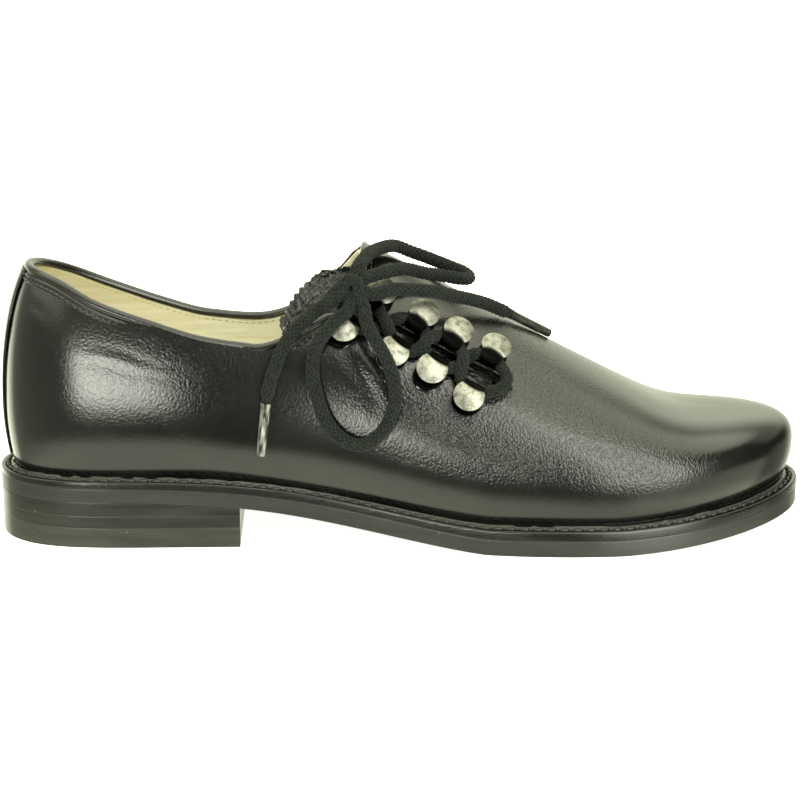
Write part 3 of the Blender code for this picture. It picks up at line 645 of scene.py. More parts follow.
def blend(tree: Tree, share: Socket | float, first: Socket, second: object, kind: str = "MIX") -> Socket:
    """Two colours blended."""
    inputs = {0: share, 6: first, 7: second}
    return add(tree, "ShaderNodeMix", inputs, data_type="RGBA", blend_type=kind).outputs[2]


def rescale(
    tree: Tree,
    value: Socket,
    low: float,
    high: float,
    start: float = 0.0,
    end: float = 1.0,
    kind: str = "LINEAR",
) -> Socket:
    """A value moved from one range to another and held at its ends."""
    inputs = {"Value": value, "From Min": low, "From Max": high, "To Min": start, "To Max": end}
    return add(tree, "ShaderNodeMapRange", inputs, interpolation_type=kind).outputs[0]


def ramp(tree: Tree, value: Socket, *stops: tuple[float, str]) -> Socket:
    """Colours between stops of a value, each a place from 0 to 1 with an sRGB hex colour."""
    node = add(tree, "ShaderNodeValToRGB", {0: value})
    elements = node.color_ramp.elements
    while len(elements) < len(stops):
        elements.new(0.5)
    for element, (place, colour) in zip(elements, stops):
        element.position = place
        element.color = linear(colour)
    return node.outputs[0]


@dataclass(frozen=True)
class Finish:
    """A surface finish as a procedural material."""

    name: str
    ior: float = 1.5
    metallic: float = 0.0

    def material(self) -> bpy.types.Material:
        """The finish's material, made once."""
        made = bpy.data.materials.get(self.name)
        if made:
            return made
        made = bpy.data.materials.new(self.name)
        made.use_nodes = True
        tree = made.node_tree
        feed(tree.nodes["Principled BSDF"], {"Metallic": self.metallic, "IOR": self.ior, **self.paint(tree)})
        return made

    def paint(self, tree: Tree) -> dict[str, object]:
        """Add the finish's own nodes and return what the shader's inputs take."""
        raise NotImplementedError


@dataclass(frozen=True)
class CalfLeather(Finish):
    """Waxed black calf: mirror-like on the toe, pebbled where it flexes, wrinkled where it is gathered."""

    deep: str = "#080808"
    # The paler colour of the calf's random mottling.
    wear_and_shade: str = "#141412"
    grain_mm: float = 0.80
    pore_mm: float = 0.80
    cloud_mm: float = 22.0
    wrinkle_mm: float = 1.3
    grain_depth: float = 0.00020
    pore_depth: float = 0.00010
    wrinkle_depth: float = 0.00010
    pucker_depth: float = 0.0007
    pucker_centre: tuple[float, float] = (0.1560, 0.0620)
    puckers: float = 13.0
    smooth_roughness: float = 0.14
    grain_roughness: float = 0.24
    gloss: float = 0.5
    coat: float = 0.25

    def paint(self, tree: Tree) -> dict[str, object]:
        """Grain, pores and wrinkles follow the numbers stored on the leather."""
        place, flat, grain = here(tree), flat_place(tree), mark(tree, "grain")
        clouds = cloud(tree, place, 5.0, self.cloud_mm)
        links = {"Vector": place, "Scale": 1 / (2.2 * self.grain_mm * MM)}
        wobble = add(tree, "ShaderNodeTexNoise", links).outputs
        links = {0: wobble["Color"], 1: (self.grain_mm * MM,) * 3, 2: place}
        bent = add(tree, "ShaderNodeVectorMath", links, operation="MULTIPLY_ADD").outputs[0]
        links = {"Vector": bent, "Scale": 1 / (self.grain_mm * MM), "Smoothness": 0.12}
        pebbles = add(tree, "ShaderNodeTexVoronoi", links, feature="SMOOTH_F1").outputs["Distance"]
        pulled = cells(tree, flat, 5 * self.wrinkle_mm, self.wrinkle_mm, METRE_MM)
        folds = cloud(tree, pulled, 4.0, Distortion=0.8)
        ridged = maths(tree, "ABSOLUTE", maths(tree, "SUBTRACT", folds, 0.5))
        ridged = maths(tree, "SMOOTH_MIN", ridged, 0.12, 0.04)
        links = {0: flat, 1: (*self.pucker_centre, 0.0)}
        from_throat = add(tree, "ShaderNodeVectorMath", links, operation="SUBTRACT").outputs[0]
        offset = add(tree, "ShaderNodeSeparateXYZ", {0: from_throat}).outputs
        angle = maths(tree, "ARCTAN2", offset["Y"], offset["X"])
        spread = maths(tree, "MULTIPLY_ADD", angle, self.puckers, wobble["Fac"])
        links = {"W": spread, "Scale": 1.0, "Detail": 2.0}
        pleats = add(tree, "ShaderNodeTexNoise", links, noise_dimensions="1D").outputs["Fac"]
        pored = maths(tree, "MULTIPLY", grain, 4.0, use_clamp=True)
        normal = bump(tree, cloud(tree, place, 3.0, self.pore_mm), self.pore_depth, pored)
        normal = bump(tree, pebbles, self.grain_depth, grain, normal, invert=True)
        normal = bump(tree, ridged, self.wrinkle_depth * 8, mark(tree, "gather"), normal)
        dull = rescale(tree, grain, 0.0, 1.0, self.smooth_roughness, self.grain_roughness)
        return {
            "Base Color": ramp(tree, clouds, (0.35, self.deep), (0.75, self.wear_and_shade)),
            "Normal": bump(tree, pleats, self.pucker_depth, mark(tree, "pucker"), normal),
            "Roughness": maths(tree, "MULTIPLY_ADD", clouds, 0.08, dull),
            "Specular IOR Level": self.gloss,
            "Coat Weight": self.coat,
            "Coat Roughness": 0.14,
        }


@dataclass(frozen=True)
class LiningLeather(Finish):
    """Undyed pigskin lining: soft cream with faint streaks and no shine, with painted shade darkening it
    towards the heel.
    """

    pale: str = "#efebd8"
    deep: str = "#dfdabc"
    # Painted shade: the lining is multiplied by this colour at the heel, fading out towards the instep.
    heel: str = "#c6bda6"
    streak_mm: float = 1.6
    streak_length_mm: float = 18.0
    slant_degrees: float = 28.0
    shade_from: float = -0.120
    shade_to: float = -0.045

    def paint(self, tree: Tree) -> dict[str, object]:
        """Streaks run slantwise along the lining."""
        place = here(tree)
        slant = (0.0, math.radians(self.slant_degrees), 0.0)
        drawn = cells(tree, place, self.streak_length_mm, 6, self.streak_mm, Rotation=slant)
        streak = cloud(tree, drawn, 4.0)
        cream = ramp(tree, streak, (0.3, self.deep), (0.65, self.pale))
        # Painted shade: the cream darkens towards the heel along the shoe.
        along = add(tree, "ShaderNodeSeparateXYZ", {0: place}).outputs["X"]
        wear_and_shade = rescale(tree, along, self.shade_from, self.shade_to, 1.0, 0.0)
        normal = bump(tree, streak, 0.00025, 0.6)
        return {
            "Base Color": blend(tree, wear_and_shade, cream, linear(self.heel), "MULTIPLY"),
            "Normal": bump(tree, cloud(tree, place, 2.0, 0.5), 0.00005, 0.8, normal),
            "Roughness": 0.62,
            "Specular IOR Level": 0.3,
        }


@dataclass(frozen=True)
class InkedEdge(Finish):
    """Cut sole leather, inked black and burnished: satin, with fine lines of fibre along the edge."""

    dark: str = "#12120f"
    light: str = "#24241e"
    line_mm: float = 0.45
    line_length_mm: float = 16.0
    roughness: float = 0.40
    line_depth: float = 0.00008
    gloss: float = 0.35
    coat: float = 0.50

    def paint(self, tree: Tree) -> dict[str, object]:
        """Fibre lines lie level round the edge, under longer blots and small pale specks."""
        place = here(tree)
        long = self.line_length_mm
        fibre = cloud(tree, cells(tree, place, long, long, self.line_mm), 5.0, Roughness=0.65)
        blot = cloud(tree, cells(tree, place, 26, 26, 2.5), 4.0)
        mixed = maths(tree, "MULTIPLY_ADD", fibre, 0.55, blot)
        base = ramp(tree, mixed, (0.55, self.dark), (1.0, self.light))
        specks = cloud(tree, place, 1.0, 0.9)
        specks = ramp(tree, specks, (0.0, "#000000"), (0.755, "#000000"), (0.80, "#4a4940"))
        return {
            "Base Color": blend(tree, 1.0, base, specks, "ADD"),
            "Normal": bump(tree, fibre, self.line_depth, 0.8),
            "Roughness": maths(tree, "MULTIPLY_ADD", blot, 0.2, self.roughness - 0.1),
            "Specular IOR Level": self.gloss,
            "Coat Weight": self.coat,
            "Coat Roughness": 0.16,
        }


@dataclass(frozen=True)
class AntiqueSilver(Finish):
    """Silver-plated stamped steel, speckled and dark in pits; painted shade and dark reflection make its base
    and bend black and darken the head's edge by the bend.
    """

    bright: str = "#98978d"
    dull: str = "#6c6b63"
    pitted: str = "#4a493f"
    # Painted shade and dark reflection on the base, the bend and the head's edge by the bend.
    black: str = "#0c0c0b"
    speck_mm: float = 0.45
    blot_mm: float = 2.2

    def paint(self, tree: Tree) -> dict[str, object]:
        """Specks and blots on the head, and black painted shade where the strip turns down."""
        place = here(tree)
        speck = cloud(tree, place, 6.0, self.speck_mm, Roughness=0.7)
        mixed = maths(tree, "MULTIPLY_ADD", speck, 0.8, cloud(tree, place, 3.0, self.blot_mm))
        silver = ramp(tree, mixed, (0.58, self.pitted), (0.74, self.dull), (0.96, self.bright))
        return {
            "Base Color": blend(tree, mark(tree, "bend_shade"), silver, linear(self.black)),
            "Normal": bump(tree, mixed, 0.00005, 0.6),
            "Roughness": rescale(tree, mixed, 0.5, 1.0, 0.56, 0.46),
        }


@dataclass(frozen=True)
class BraidedCotton(Finish):
    """Dull black braided cotton: no shine, a slight bloom of fibre ends, and a painted highlight on the
    crowns of the strands with painted shade between them.
    """

    deep: str = "#020202"
    # The crowns' colour is a painted highlight on top of the strands; the deep colour doubles as painted
    # shade between them.
    crown: str = "#262b27"
    fibre_mm: float = 0.16
    patch_mm: float = 1.7

    def paint(self, tree: Tree) -> dict[str, object]:
        """Crowns of the braid are painted lighter and the hollows darker as painted light and shade, here
        more and there less.
        """
        place = here(tree)
        fluff = cloud(tree, place, 4.0, self.fibre_mm * 2)
        # Painted light: lighter on the braid's crowns, darker in the hollows between the strands.
        lit = maths(tree, "MULTIPLY_ADD", mark(tree, "crown"), 0.55, fluff)
        lit = maths(tree, "MULTIPLY_ADD", cloud(tree, place, 2.0, self.patch_mm), 0.7, lit)
        lit = maths(tree, "MULTIPLY", lit, 0.6)
        return {
            "Base Color": ramp(tree, lit, (0.42, self.deep), (1.0, self.crown)),
            "Normal": bump(tree, fluff, 0.00020, 0.9),
            "Roughness": 0.92,
            "Specular IOR Level": 0.15,
            "Sheen Weight": 0.05,
            "Sheen Roughness": 0.5,
        }


@dataclass(frozen=True)
class AgletFilm(Finish):
    """Acetate film shrunk on the cord's end: glossy, with long streaks where the cord shows through; the back
    aglet's pale grey streaks are a painted reflection.
    """

    dark: str = "#1b1c1a"
    light: str = "#6f7069"
    streaks_round: float = 7.0
    streak_length_mm: float = 6.0

    def paint(self, tree: Tree) -> dict[str, object]:
        """Streaks run along the aglet."""
        scale = (self.streaks_round, 1 / (self.streak_length_mm * MM), 1.0)
        long = add(tree, "ShaderNodeMapping", {"Vector": flat_place(tree), "Scale": scale}).outputs[0]
        streak = cloud(tree, long, 4.0)
        return {
            "Base Color": ramp(tree, streak, (0.42, self.dark), (0.68, self.light)),
            "Normal": bump(tree, streak, 0.0002, 0.5),
            "Roughness": 0.22,
            "Coat Weight": 0.6,
            "Coat Roughness": 0.08,
        }


@dataclass(frozen=True)
class Thread(Finish):
    """Waxed sewing thread: tight twisted strands with a soft shine."""

    shade: str = "#141413"
    crest: str = "#2e2e29"
    twist_mm: float = 0.45
    roughness: float = 0.48

    def paint(self, tree: Tree) -> dict[str, object]:
        """Twist as fine cloudy bumps."""
        twist = cloud(tree, here(tree), 3.0, self.twist_mm)
        return {
            "Base Color": ramp(tree, twist, (0.35, self.shade), (0.7, self.crest)),
            "Normal": bump(tree, twist, 0.00015, 0.7),
            "Roughness": self.roughness,
        }


@dataclass(frozen=True)
class Enamel(Finish):
    """Black stove enamel on steel: deep gloss with a fine ripple."""

    shade: str = "#080808"
    crest: str = "#0f0f0e"
    ripple_mm: float = 0.8

    def paint(self, tree: Tree) -> dict[str, object]:
        """Orange-peel ripple in the gloss."""
        peel = cloud(tree, here(tree), 2.0, self.ripple_mm)
        return {
            "Base Color": ramp(tree, peel, (0.3, self.shade), (0.7, self.crest)),
            "Normal": bump(tree, peel, 0.00002, 0.6),
            "Roughness": 0.16,
            "Coat Weight": 0.5,
            "Coat Roughness": 0.08,
        }


@dataclass(frozen=True)
class PaleFloor(Finish):
    """Matt white acrylic board of a light table, lit faintly from below."""

    shade: str = "#fbfbfa"
    deep: str = "#f8f8f6"
    glow: float = 0.88

    def paint(self, tree: Tree) -> dict[str, object]:
        """A trace of unevenness in the white."""
        links = {"Vector": here(tree), "Scale": 1.5, "Detail": 2.0}
        uneven = add(tree, "ShaderNodeTexNoise", links).outputs["Fac"]
        return {
            "Base Color": ramp(tree, uneven, (0.3, self.deep), (0.7, self.shade)),
            "Roughness": 0.9,
            "Specular IOR Level": 0.0,
            "Emission Color": linear("#ffffff"),
            "Emission Strength": self.glow,
        }


CALF = CalfLeather("black_calf_leather")
BINDING_CALF = CalfLeather(
    "folded_calf_edge", wear_and_shade="#1a1a18", smooth_roughness=0.20, grain_mm=0.7, pore_depth=0.00002
)
# The tongue's wrinkles are drawn 1.2 mm apart, a little coarser than real ones of about 1 mm
TONGUE_CALF = CalfLeather(
    "crushed_calf_tongue",
    deep="#030303",
    wear_and_shade="#0a0a09",
    wrinkle_mm=1.2,
    grain_mm=1.1,
    grain_depth=0.00016,
    wrinkle_depth=0.00034,
    grain_roughness=0.18,
    coat=0.20,
)
LINING = LiningLeather("cream_lining_leather")
# The edges' colours are paler towards the floor: the welt darkest, then the outsole, the heel lifts and the
# rubber top piece palest.
EDGE = InkedEdge("inked_sole_edge")
WELT_EDGE = InkedEdge(
    "inked_welt_leather", dark="#070707", light="#131311", roughness=0.26, gloss=0.42, coat=0.3
)
OUTSOLE_EDGE = InkedEdge("inked_outsole_edge", dark="#0f0f0d", light="#1e1e19", roughness=0.52, gloss=0.52)
RUBBER = InkedEdge(
    "moulded_heel_rubber", dark="#22221d", light="#33332c", line_mm=0.8, roughness=0.5, line_depth=0.00004
)
SILVER = AntiqueSilver("antique_silver_plate", metallic=1.0)
ENAMEL = Enamel("black_stove_enamel")
COTTON = BraidedCotton("braided_black_cotton")
# Same film as the front aglet; the back aglet's paler grey is a painted reflection.
PAINTED_REFLECTION_AGLET_FILM = AgletFilm("aglet_film_painted_reflection", dark="#1c1d1a", light="#9c9d95")
DARK_FILM = AgletFilm("dark_aglet_film", dark="#20211d", light="#3e3f39")
WELT_THREAD = Thread("waxed_welt_thread", shade="#0e0e0d", crest="#2a2a25", roughness=0.40)
SEAM_THREAD = Thread("black_seam_thread", shade="#0c0c0c", crest="#1c1c1a")
LINING_THREAD = Thread("cream_seam_thread", shade="#a8a26a", crest="#c9c289", roughness=0.7)
FLOOR = PaleFloor("white_studio_board")


def new_piece(name: str, mesh: bpy.types.Mesh, slot: str, finish: Finish) -> bpy.types.Object:
    """A visible piece on the shoe's body.

    Args:
        name: Name of the piece.
        mesh: Its mesh, in the part's frame.
        slot: The record's material slot that it belongs to; not used.
        finish: Its surface.

    Returns:
        The object.
    """
    mesh.name = name
    mesh.materials.clear()
    mesh.materials.append(finish.material())
    piece = bpy.data.objects.new(name, mesh)
    bpy.context.scene.collection.objects.link(piece)
    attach(piece, BODY)
    LOG.info("%s: %d faces", name, len(mesh.polygons))
    return piece


@dataclass(frozen=True)
class StitchRow:
    """A row of stitches laid along a line by Geometry Nodes."""

    name: str
    pitch: float
    length: float
    width: float
    height: float
    lean: float = 0.0
    SIZES: ClassVar[tuple[str, ...]] = ("Pitch", "Length", "Width", "Height", "Lean")

    def tree(self) -> Tree:
        """The node tree that sets one stitch at every pitch, shared by all rows."""
        made = bpy.data.node_groups.get("stitch_row")
        if made:
            return made
        made = bpy.data.node_groups.new("stitch_row", "GeometryNodeTree")
        face = made.interface
        face.new_socket("Line", in_out="INPUT", socket_type="NodeSocketGeometry")
        for label in self.SIZES:
            face.new_socket(label, in_out="INPUT", socket_type="NodeSocketFloat")
        face.new_socket("Thread", in_out="INPUT", socket_type="NodeSocketMaterial")
        face.new_socket("Stitches", in_out="OUTPUT", socket_type="NodeSocketGeometry")

        def node(kind: str, inputs: dict, **settings: object) -> Socket:
            """First output of a new node."""
            return add(made, kind, inputs, **settings).outputs[0]

        given = add(made, "NodeGroupInput").outputs
        line = node("GeometryNodeMeshToCurve", {"Mesh": given["Line"]})
        spaced = node("GeometryNodeResampleCurve", {"Curve": line, "Length": given["Pitch"]}, mode="LENGTH")
        facing = node("GeometryNodeInputNamedAttribute", {"Name": "facing"}, data_type="FLOAT_VECTOR")
        along = node("GeometryNodeInputTangent", {})
        align = "FunctionNodeAlignRotationToVector"
        turned = node(align, {"Vector": along}, axis="X")
        upright = node(align, {"Rotation": turned, "Vector": facing}, axis="Z", pivot_axis="X")
        lean = node("FunctionNodeEulerToRotation", {0: node("ShaderNodeCombineXYZ", {"Z": given["Lean"]})})
        turns = {"Rotation": upright, "Rotate By": lean}
        rotation = node("FunctionNodeRotateRotation", turns, rotation_space="LOCAL")
        bead = node("GeometryNodeMeshUVSphere", {"Segments": 8, "Rings": 6, "Radius": 0.5})
        size = node("ShaderNodeCombineXYZ", {"X": given["Length"], "Y": given["Width"], "Z": given["Height"]})
        stitch = node("GeometryNodeTransform", {"Geometry": bead, "Scale": size})
        soft = node("GeometryNodeSetShadeSmooth", {"Geometry": stitch})
        each = {"Points": spaced, "Instance": soft, "Rotation": rotation}
        real = node("GeometryNodeRealizeInstances", {0: node("GeometryNodeInstanceOnPoints", each)})
        dressed = node("GeometryNodeSetMaterial", {"Geometry": real, "Material": given["Thread"]})
        add(made, "NodeGroupOutput", {0: dressed})
        return made

    def sew(self, path: Array, facing: Array, closed: bool, thread: Finish, slot: str) -> bpy.types.Object:
        """Sew the row.

        Args:
            path: Points of the seam.
            facing: Direction out of the material at each point.
            closed: Whether the seam runs back into itself.
            thread: Finish of the thread.
            slot: The record's material slot.

        Returns:
            The piece.
        """
        count = len(path)
        edges = [(i, i + 1) for i in range(count - 1)] + ([(count - 1, 0)] if closed else [])
        line = bpy.data.meshes.new(self.name + "_line")
        line.from_pydata(path.tolist(), edges, [])
        stored = line.attributes.new("facing", "FLOAT_VECTOR", "POINT")
        stored.data.foreach_set("vector", np.asarray(facing, np.float32).ravel())
        carrier = bpy.data.objects.new(self.name + "_line", line)
        bpy.context.scene.collection.objects.link(carrier)
        tree = self.tree()
        sewing = carrier.modifiers.new("stitches", "NODES")
        sewing.node_group = tree
        sockets = {item.name: item.identifier for item in tree.interface.items_tree if item.in_out == "INPUT"}
        for label in self.SIZES:
            sewing[sockets[label]] = getattr(self, label.lower())
        sewing[sockets["Thread"]] = thread.material()
        ready = carrier.evaluated_get(bpy.context.evaluated_depsgraph_get())
        mesh = bpy.data.meshes.new_from_object(ready)
        bpy.data.objects.remove(carrier)
        bpy.data.meshes.remove(line)
        return new_piece(self.name, mesh, slot, thread)


@dataclass(frozen=True)
class Crease:
    """A soft trough or ridge in the leather along a given line."""

    route: tuple[tuple[float, float], ...]
    width: float
    depth: float

    def relief(self, last: Last, points: Array) -> Array:
        """Height that the crease adds at each point.

        Args:
            last: The form.
            points: Points of the leather.

        Returns:
            Heights in metres, below zero in a trough.
        """
        places = np.array(self.route)
        knots = last.place(places[:, 0], places[:, 1])
        line = even_path(knots, 1.0 * MM)
        reach = 3 * self.width
        near = np.all((points > line.min(0) - reach) & (points < line.max(0) + reach), axis=-1)
        found = np.zeros(points.shape[:-1])
        gaps = np.linalg.norm(points[near][:, None] - line[None], axis=-1)
        closest = gaps.min(axis=1)
        ends = np.sin(math.pi * (np.arange(len(line)) + 0.5) / len(line)) ** 0.7
        weights = np.exp((closest[:, None] ** 2 - gaps**2) / self.width**2)
        fade = weights @ ends / weights.sum(axis=1)
        found[near] = self.depth * fade * np.exp(-((closest / self.width) ** 2))
        return found


CREASES = (
    Crease(
        ((0.030, 0.142), (0.080, 0.146), (0.130, 0.148), (0.180, 0.150), (0.230, 0.152), (0.290, 0.154)),
        0.0110,
        0.00060,
    ),
    Crease(((0.262, 0.080), (0.252, 0.130), (0.247, 0.180), (0.244, 0.230), (0.242, 0.270)), 0.0220, 0.00200),
    Crease(
        (
            (0.079, 0.214),
            (0.108, 0.213),
            (0.144, 0.208),
            (0.171, 0.204),
            (0.207, 0.200),
            (0.245, 0.199),
            (0.270, 0.200),
        ),
        0.0012,
        -0.00011,
    ),
    Crease(
        ((0.104, 0.229), (0.144, 0.227), (0.165, 0.221), (0.189, 0.212), (0.207, 0.211), (0.241, 0.209)),
        0.0012,
        -0.00010,
    ),
    Crease(((0.095, 0.221), (0.144, 0.217), (0.180, 0.208), (0.230, 0.204)), 0.0020, 0.00009),
    Crease(((0.021, 0.281), (0.035, 0.276), (0.047, 0.270), (0.057, 0.265)), 0.0010, -0.00018),
    Crease(((0.025, 0.252), (0.037, 0.247), (0.049, 0.238)), 0.0010, -0.00018),
    Crease(((0.435, 0.266), (0.445, 0.256), (0.454, 0.246), (0.464, 0.232), (0.474, 0.218)), 0.0028, 0.00055),
    Crease(
        ((0.428, 0.262), (0.438, 0.250), (0.447, 0.240), (0.456, 0.226), (0.464, 0.212)),
        0.0026,
        -0.00040,
    ),
)
# Shares of the arch over which the creases fade in above the feather line
FEATHER_FADE = (0.01, 0.10)
# Where the leather is pebbled, gathered and puckered: centre, spread and strength
SPOT_COLUMNS = "station arch along across strength"
GRAIN_SPOTS = table(
    SPOT_COLUMNS,
    (0.70, 0.24, 0.13, 0.07, 1.00), (0.56, 0.22, 0.10, 0.06, 0.75), (0.66, 0.38, 0.10, 0.13, 0.85),
    (0.20, 0.22, 0.22, 0.12, 0.20), (0.80, 0.18, 0.08, 0.05, 0.70), (0.62, 0.75, 0.16, 0.12, 0.70),
)
GATHER_SPOTS = table(
    SPOT_COLUMNS,
    (0.035, 0.265, 0.030, 0.030, 0.10), (0.170, 0.212, 0.090, 0.018, 0.035),
    (0.600, 0.400, 0.030, 0.030, 0.04), (0.520, 0.235, 0.060, 0.020, 0.02),
    (0.620, 0.640, 0.060, 0.080, 0.12),
)
PUCKER_SPOTS = table(SPOT_COLUMNS, (0.640, 0.315, 0.022, 0.055, 0.6), (0.600, 0.400, 0.03, 0.03, 0.2))
MARKS = {"grain": GRAIN_SPOTS, "gather": GATHER_SPOTS, "pucker": PUCKER_SPOTS}


def spots(station: Array, arch: Array, rows: Table) -> Array:
    """Sum of soft spots on the leather, from 0 to 1.

    Args:
        station: Stations of the points.
        arch: Arch shares of the points.
        rows: Centres, spreads and strengths.

    Returns:
        Strength at each point.
    """
    found = np.zeros(np.shape(station))
    for s, a, along, across, strength in zip(*rows.values()):
        found += strength * np.exp(-(((station - s) / along) ** 2) - ((arch - a) / across) ** 2)
    return np.clip(found, 0, 1)


@dataclass
class Upper:
    """Outer leather, lining, topline binding, back strip and their seams."""

    last: Last
    stations: int = 360
    lateral_rows: int = 54
    medial_rows: int = 54
    flap_rows: int = 28
    leather: float = 0.0011
    lining_depth: float = 0.0015
    lining: float = 0.0005
    lining_stations: int = 130
    lining_rows: tuple[int, int, int] = (26, 26, 10)
    lining_back: float = 0.014
    binding_step: float = 0.0004
    stitch_pitch: float = 0.0023
    strip_wall: float = 0.0008
    pucker_step: float = 0.004
    pucker_mean: float = 0.55
    slim_from: float = 0.075
    slim_to: float = 0.050
    seam_drop_mm: float = 3.82
    lining_seam_drop_mm: float = 2.8
    lining_seam_depth_mm: float = 2.05

    def strips(self, stations: int, rows: tuple[int, int, int], back: float = 0.0) -> Strips:
        """Station and arch of the grid points of the outer quarter, the inner quarter and the flap.

        Args:
            stations: Number of sections from heel to toe.
            rows: Number of rows in each strip.
            back: Share of the arch by which the strips are kept back from the throat.

        Returns:
            One pair of arrays for each strip.
        """
        last = self.last
        regular = last.station(np.linspace(0, 1, stations))
        corners = np.array(THROAT_CORNERS)
        clear = np.abs(regular[:, None] - corners).min(axis=1) > 0.35 / stations
        along = np.sort(np.concatenate([regular[clear], corners]))
        quarter, crown, flap = last.quarter_top(), last.crown(), last.flap_edge()
        closed = 1 - ease(along, THROAT_END + 0.01, THROAT_END + 0.03)
        throat = ease(along, THROAT_FADE, THROAT_START) * closed
        lateral = (quarter(along) - back * throat)[:, None] * np.linspace(0, 1, rows[0])
        medial = 1 - (1 - crown(along))[:, None] * np.linspace(0, 1, rows[1])
        front = along[along >= FLAP_PEAK]
        down = np.linspace(0, 1, rows[2])
        edge = flap(front) + back * closed[along >= FLAP_PEAK]
        over = crown(front)[:, None] * (1 - down) + edge[:, None] * down
        lean = FLAP_LEAN * np.clip((FLAP_LEAN_END - front) / (FLAP_LEAN_END - FLAP_PEAK), 0, 1)
        wide = np.broadcast_to(along[:, None], lateral.shape)
        wide_medial = np.broadcast_to(along[:, None], medial.shape)
        return [(wide, lateral), (wide_medial, medial), (front[:, None] - lean[:, None] * down, over)]

    def shell(self, name: str, strips: Strips, height: float, creased: bool) -> bpy.types.Mesh:
        """One welded sheet over the strips.

        Args:
            name: Name of the mesh.
            strips: Grid points of each strip.
            height: Height above the form.
            creased: Whether the leather's creases are pressed in.

        Returns:
            The mesh.
        """
        last = self.last
        points, faces, uv = [], [], []
        start = 0
        for number, (station, arch) in enumerate(strips):
            found = last.place(station, arch, height)
            if creased:
                relief = sum(crease.relief(last, found) for crease in CREASES)
                relief = relief * ease(np.minimum(arch, 1 - arch), *FEATHER_FADE)
                found = found + relief[..., None] * last.normal(station, arch)
            quads = [tuple(start + v for v in quad) for quad in grid_quads(*station.shape)]
            faces += [quad[::-1] for quad in quads] if number else quads
            start += station.size
            points.append(found.reshape(-1, 3))
            uv.append(np.stack([station * last.length, arch * ARCH_LENGTH], -1).reshape(-1, 2))
        marks = {
            key: np.concatenate([spots(station, arch, rows).ravel() for station, arch in strips])
            for key, rows in MARKS.items()
        }
        flat = np.concatenate(uv)
        return plain_mesh(name, np.concatenate(points), faces, Faces.AS_BUILT, flat, marks, weld=1e-5)

    def topline(self) -> tuple[Array, Array, Array]:
        """The upper's top edge from the throat round the heel, over the flap's peak to the throat again.

        Returns:
            Points, directions out of the leather and directions up past its edge.
        """
        last = self.last
        quarter, crown, flap = last.quarter_top(), last.crown(), last.flap_edge()
        turns = np.linspace(float(last.turn(THROAT_START)), 0, 60)
        lateral = last.station(turns)
        medial = last.station(np.linspace(0, float(last.turn(FLAP_PEAK)), 64))[1:]
        down = np.linspace(0, 1, 14)[1:]
        station = np.concatenate([lateral, medial, FLAP_PEAK - FLAP_LEAN * down])
        edge = float(crown(np.array(FLAP_PEAK)))
        fall = edge + (float(flap(np.array(FLAP_PEAK))) - edge) * down
        arch = np.concatenate([quarter(lateral), crown(medial), fall])
        knots = last.place(station, arch)
        path = even_path(knots, self.binding_step)
        run = distances(knots)
        share = np.linspace(0, run[-1], len(path))
        out = np.stack([np.interp(share, run, column) for column in last.normal(station, arch).T], -1)
        along = tangents(path)
        out = unit(out - (out * along).sum(-1, keepdims=True) * along)
        up = np.cross(out, along)
        return path, out, up * np.sign(up[len(up) // 4, 2])

    def build(self) -> None:
        """Make and dress every piece of the upper."""
        rows = (self.lateral_rows, self.medial_rows, self.flap_rows)
        mesh = self.shell("upper_leather", self.strips(self.stations, rows), 0.0, True)
        leather = new_piece("upper_calf", mesh, "upper_leather", CALF)
        self.thicken(leather, self.leather)
        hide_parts("upper")
        strips = self.strips(self.lining_stations, self.lining_rows, self.lining_back)
        mesh = self.shell("lining", strips, -self.lining_depth, False)
        lining = new_piece("upper_lining", mesh, "insole_leather", LINING)
        self.thicken(lining, self.lining)
        self.build_binding()
        self.build_back_strip()

    @staticmethod
    def thicken(piece: bpy.types.Object, wall: float) -> None:
        """Give a sheet its wall, inwards."""
        solid = piece.modifiers.new("wall", "SOLIDIFY")
        solid.thickness = wall
        solid.offset = -1
        solid.use_even_offset = False

    def build_binding(self) -> None:
        """Folded binding with its bead, groove, lip and puckered seam."""
        path, out, up = self.topline()
        lip = np.array(
            [
                (-5.1, -0.25), (-4.75, 0.10), (-4.35, 0.26), (-4.05, 0.08), (-3.80, 0.02), (-3.55, 0.10),
                (-3.30, 0.36), (-3.00, 0.46), (-2.72, 0.40), (-2.50, 0.16), (-2.32, 0.10), (-2.12, 0.30),
                (-1.80, 0.66), (-1.35, 0.88), (-0.80, 0.96), (-0.25, 0.82), (0.20, 0.48), (0.48, -0.02),
                (0.58, -0.60), (0.50, -1.20), (0.25, -1.80), (-0.12, -2.20), (-0.60, -2.40), (-1.10, -2.44),
                (-1.50, -2.32), (-1.62, -2.00), (-1.62, -1.00),
            ]
        ) * MM
        profile = np.repeat(lip[None], len(path), axis=0)
        run = np.arange(len(path)) * self.binding_step
        pucker = np.abs(np.sin(math.pi * run / self.stitch_pitch)) ** 0.6
        rng = np.random.default_rng(7)
        marks_along = np.linspace(0, run[-1], int(run[-1] / self.pucker_step))
        uneven = np.interp(run, marks_along, rng.uniform(0.5, 1.0, len(marks_along)))
        profile[:, 2, 1] += (pucker * uneven - self.pucker_mean) * 0.30 * MM
        profile[:, 1, 1] += (pucker * uneven - self.pucker_mean) * 0.22 * MM
        slim = 1 - 0.5 * ease(run, run[-1] - self.slim_from, run[-1] - self.slim_to)
        profile = profile * slim[:, None, None]
        points, faces = sweep(path, up, out, profile)
        marks = {"grain": np.full(len(points), 0.15), "gather": np.full(len(points), 0.0)}
        uv = np.stack([np.repeat(run, lip.shape[0]), np.tile(lip[:, 0], len(path))], -1)
        mesh = plain_mesh("binding", points, faces, Faces.CLOSED, uv, marks)
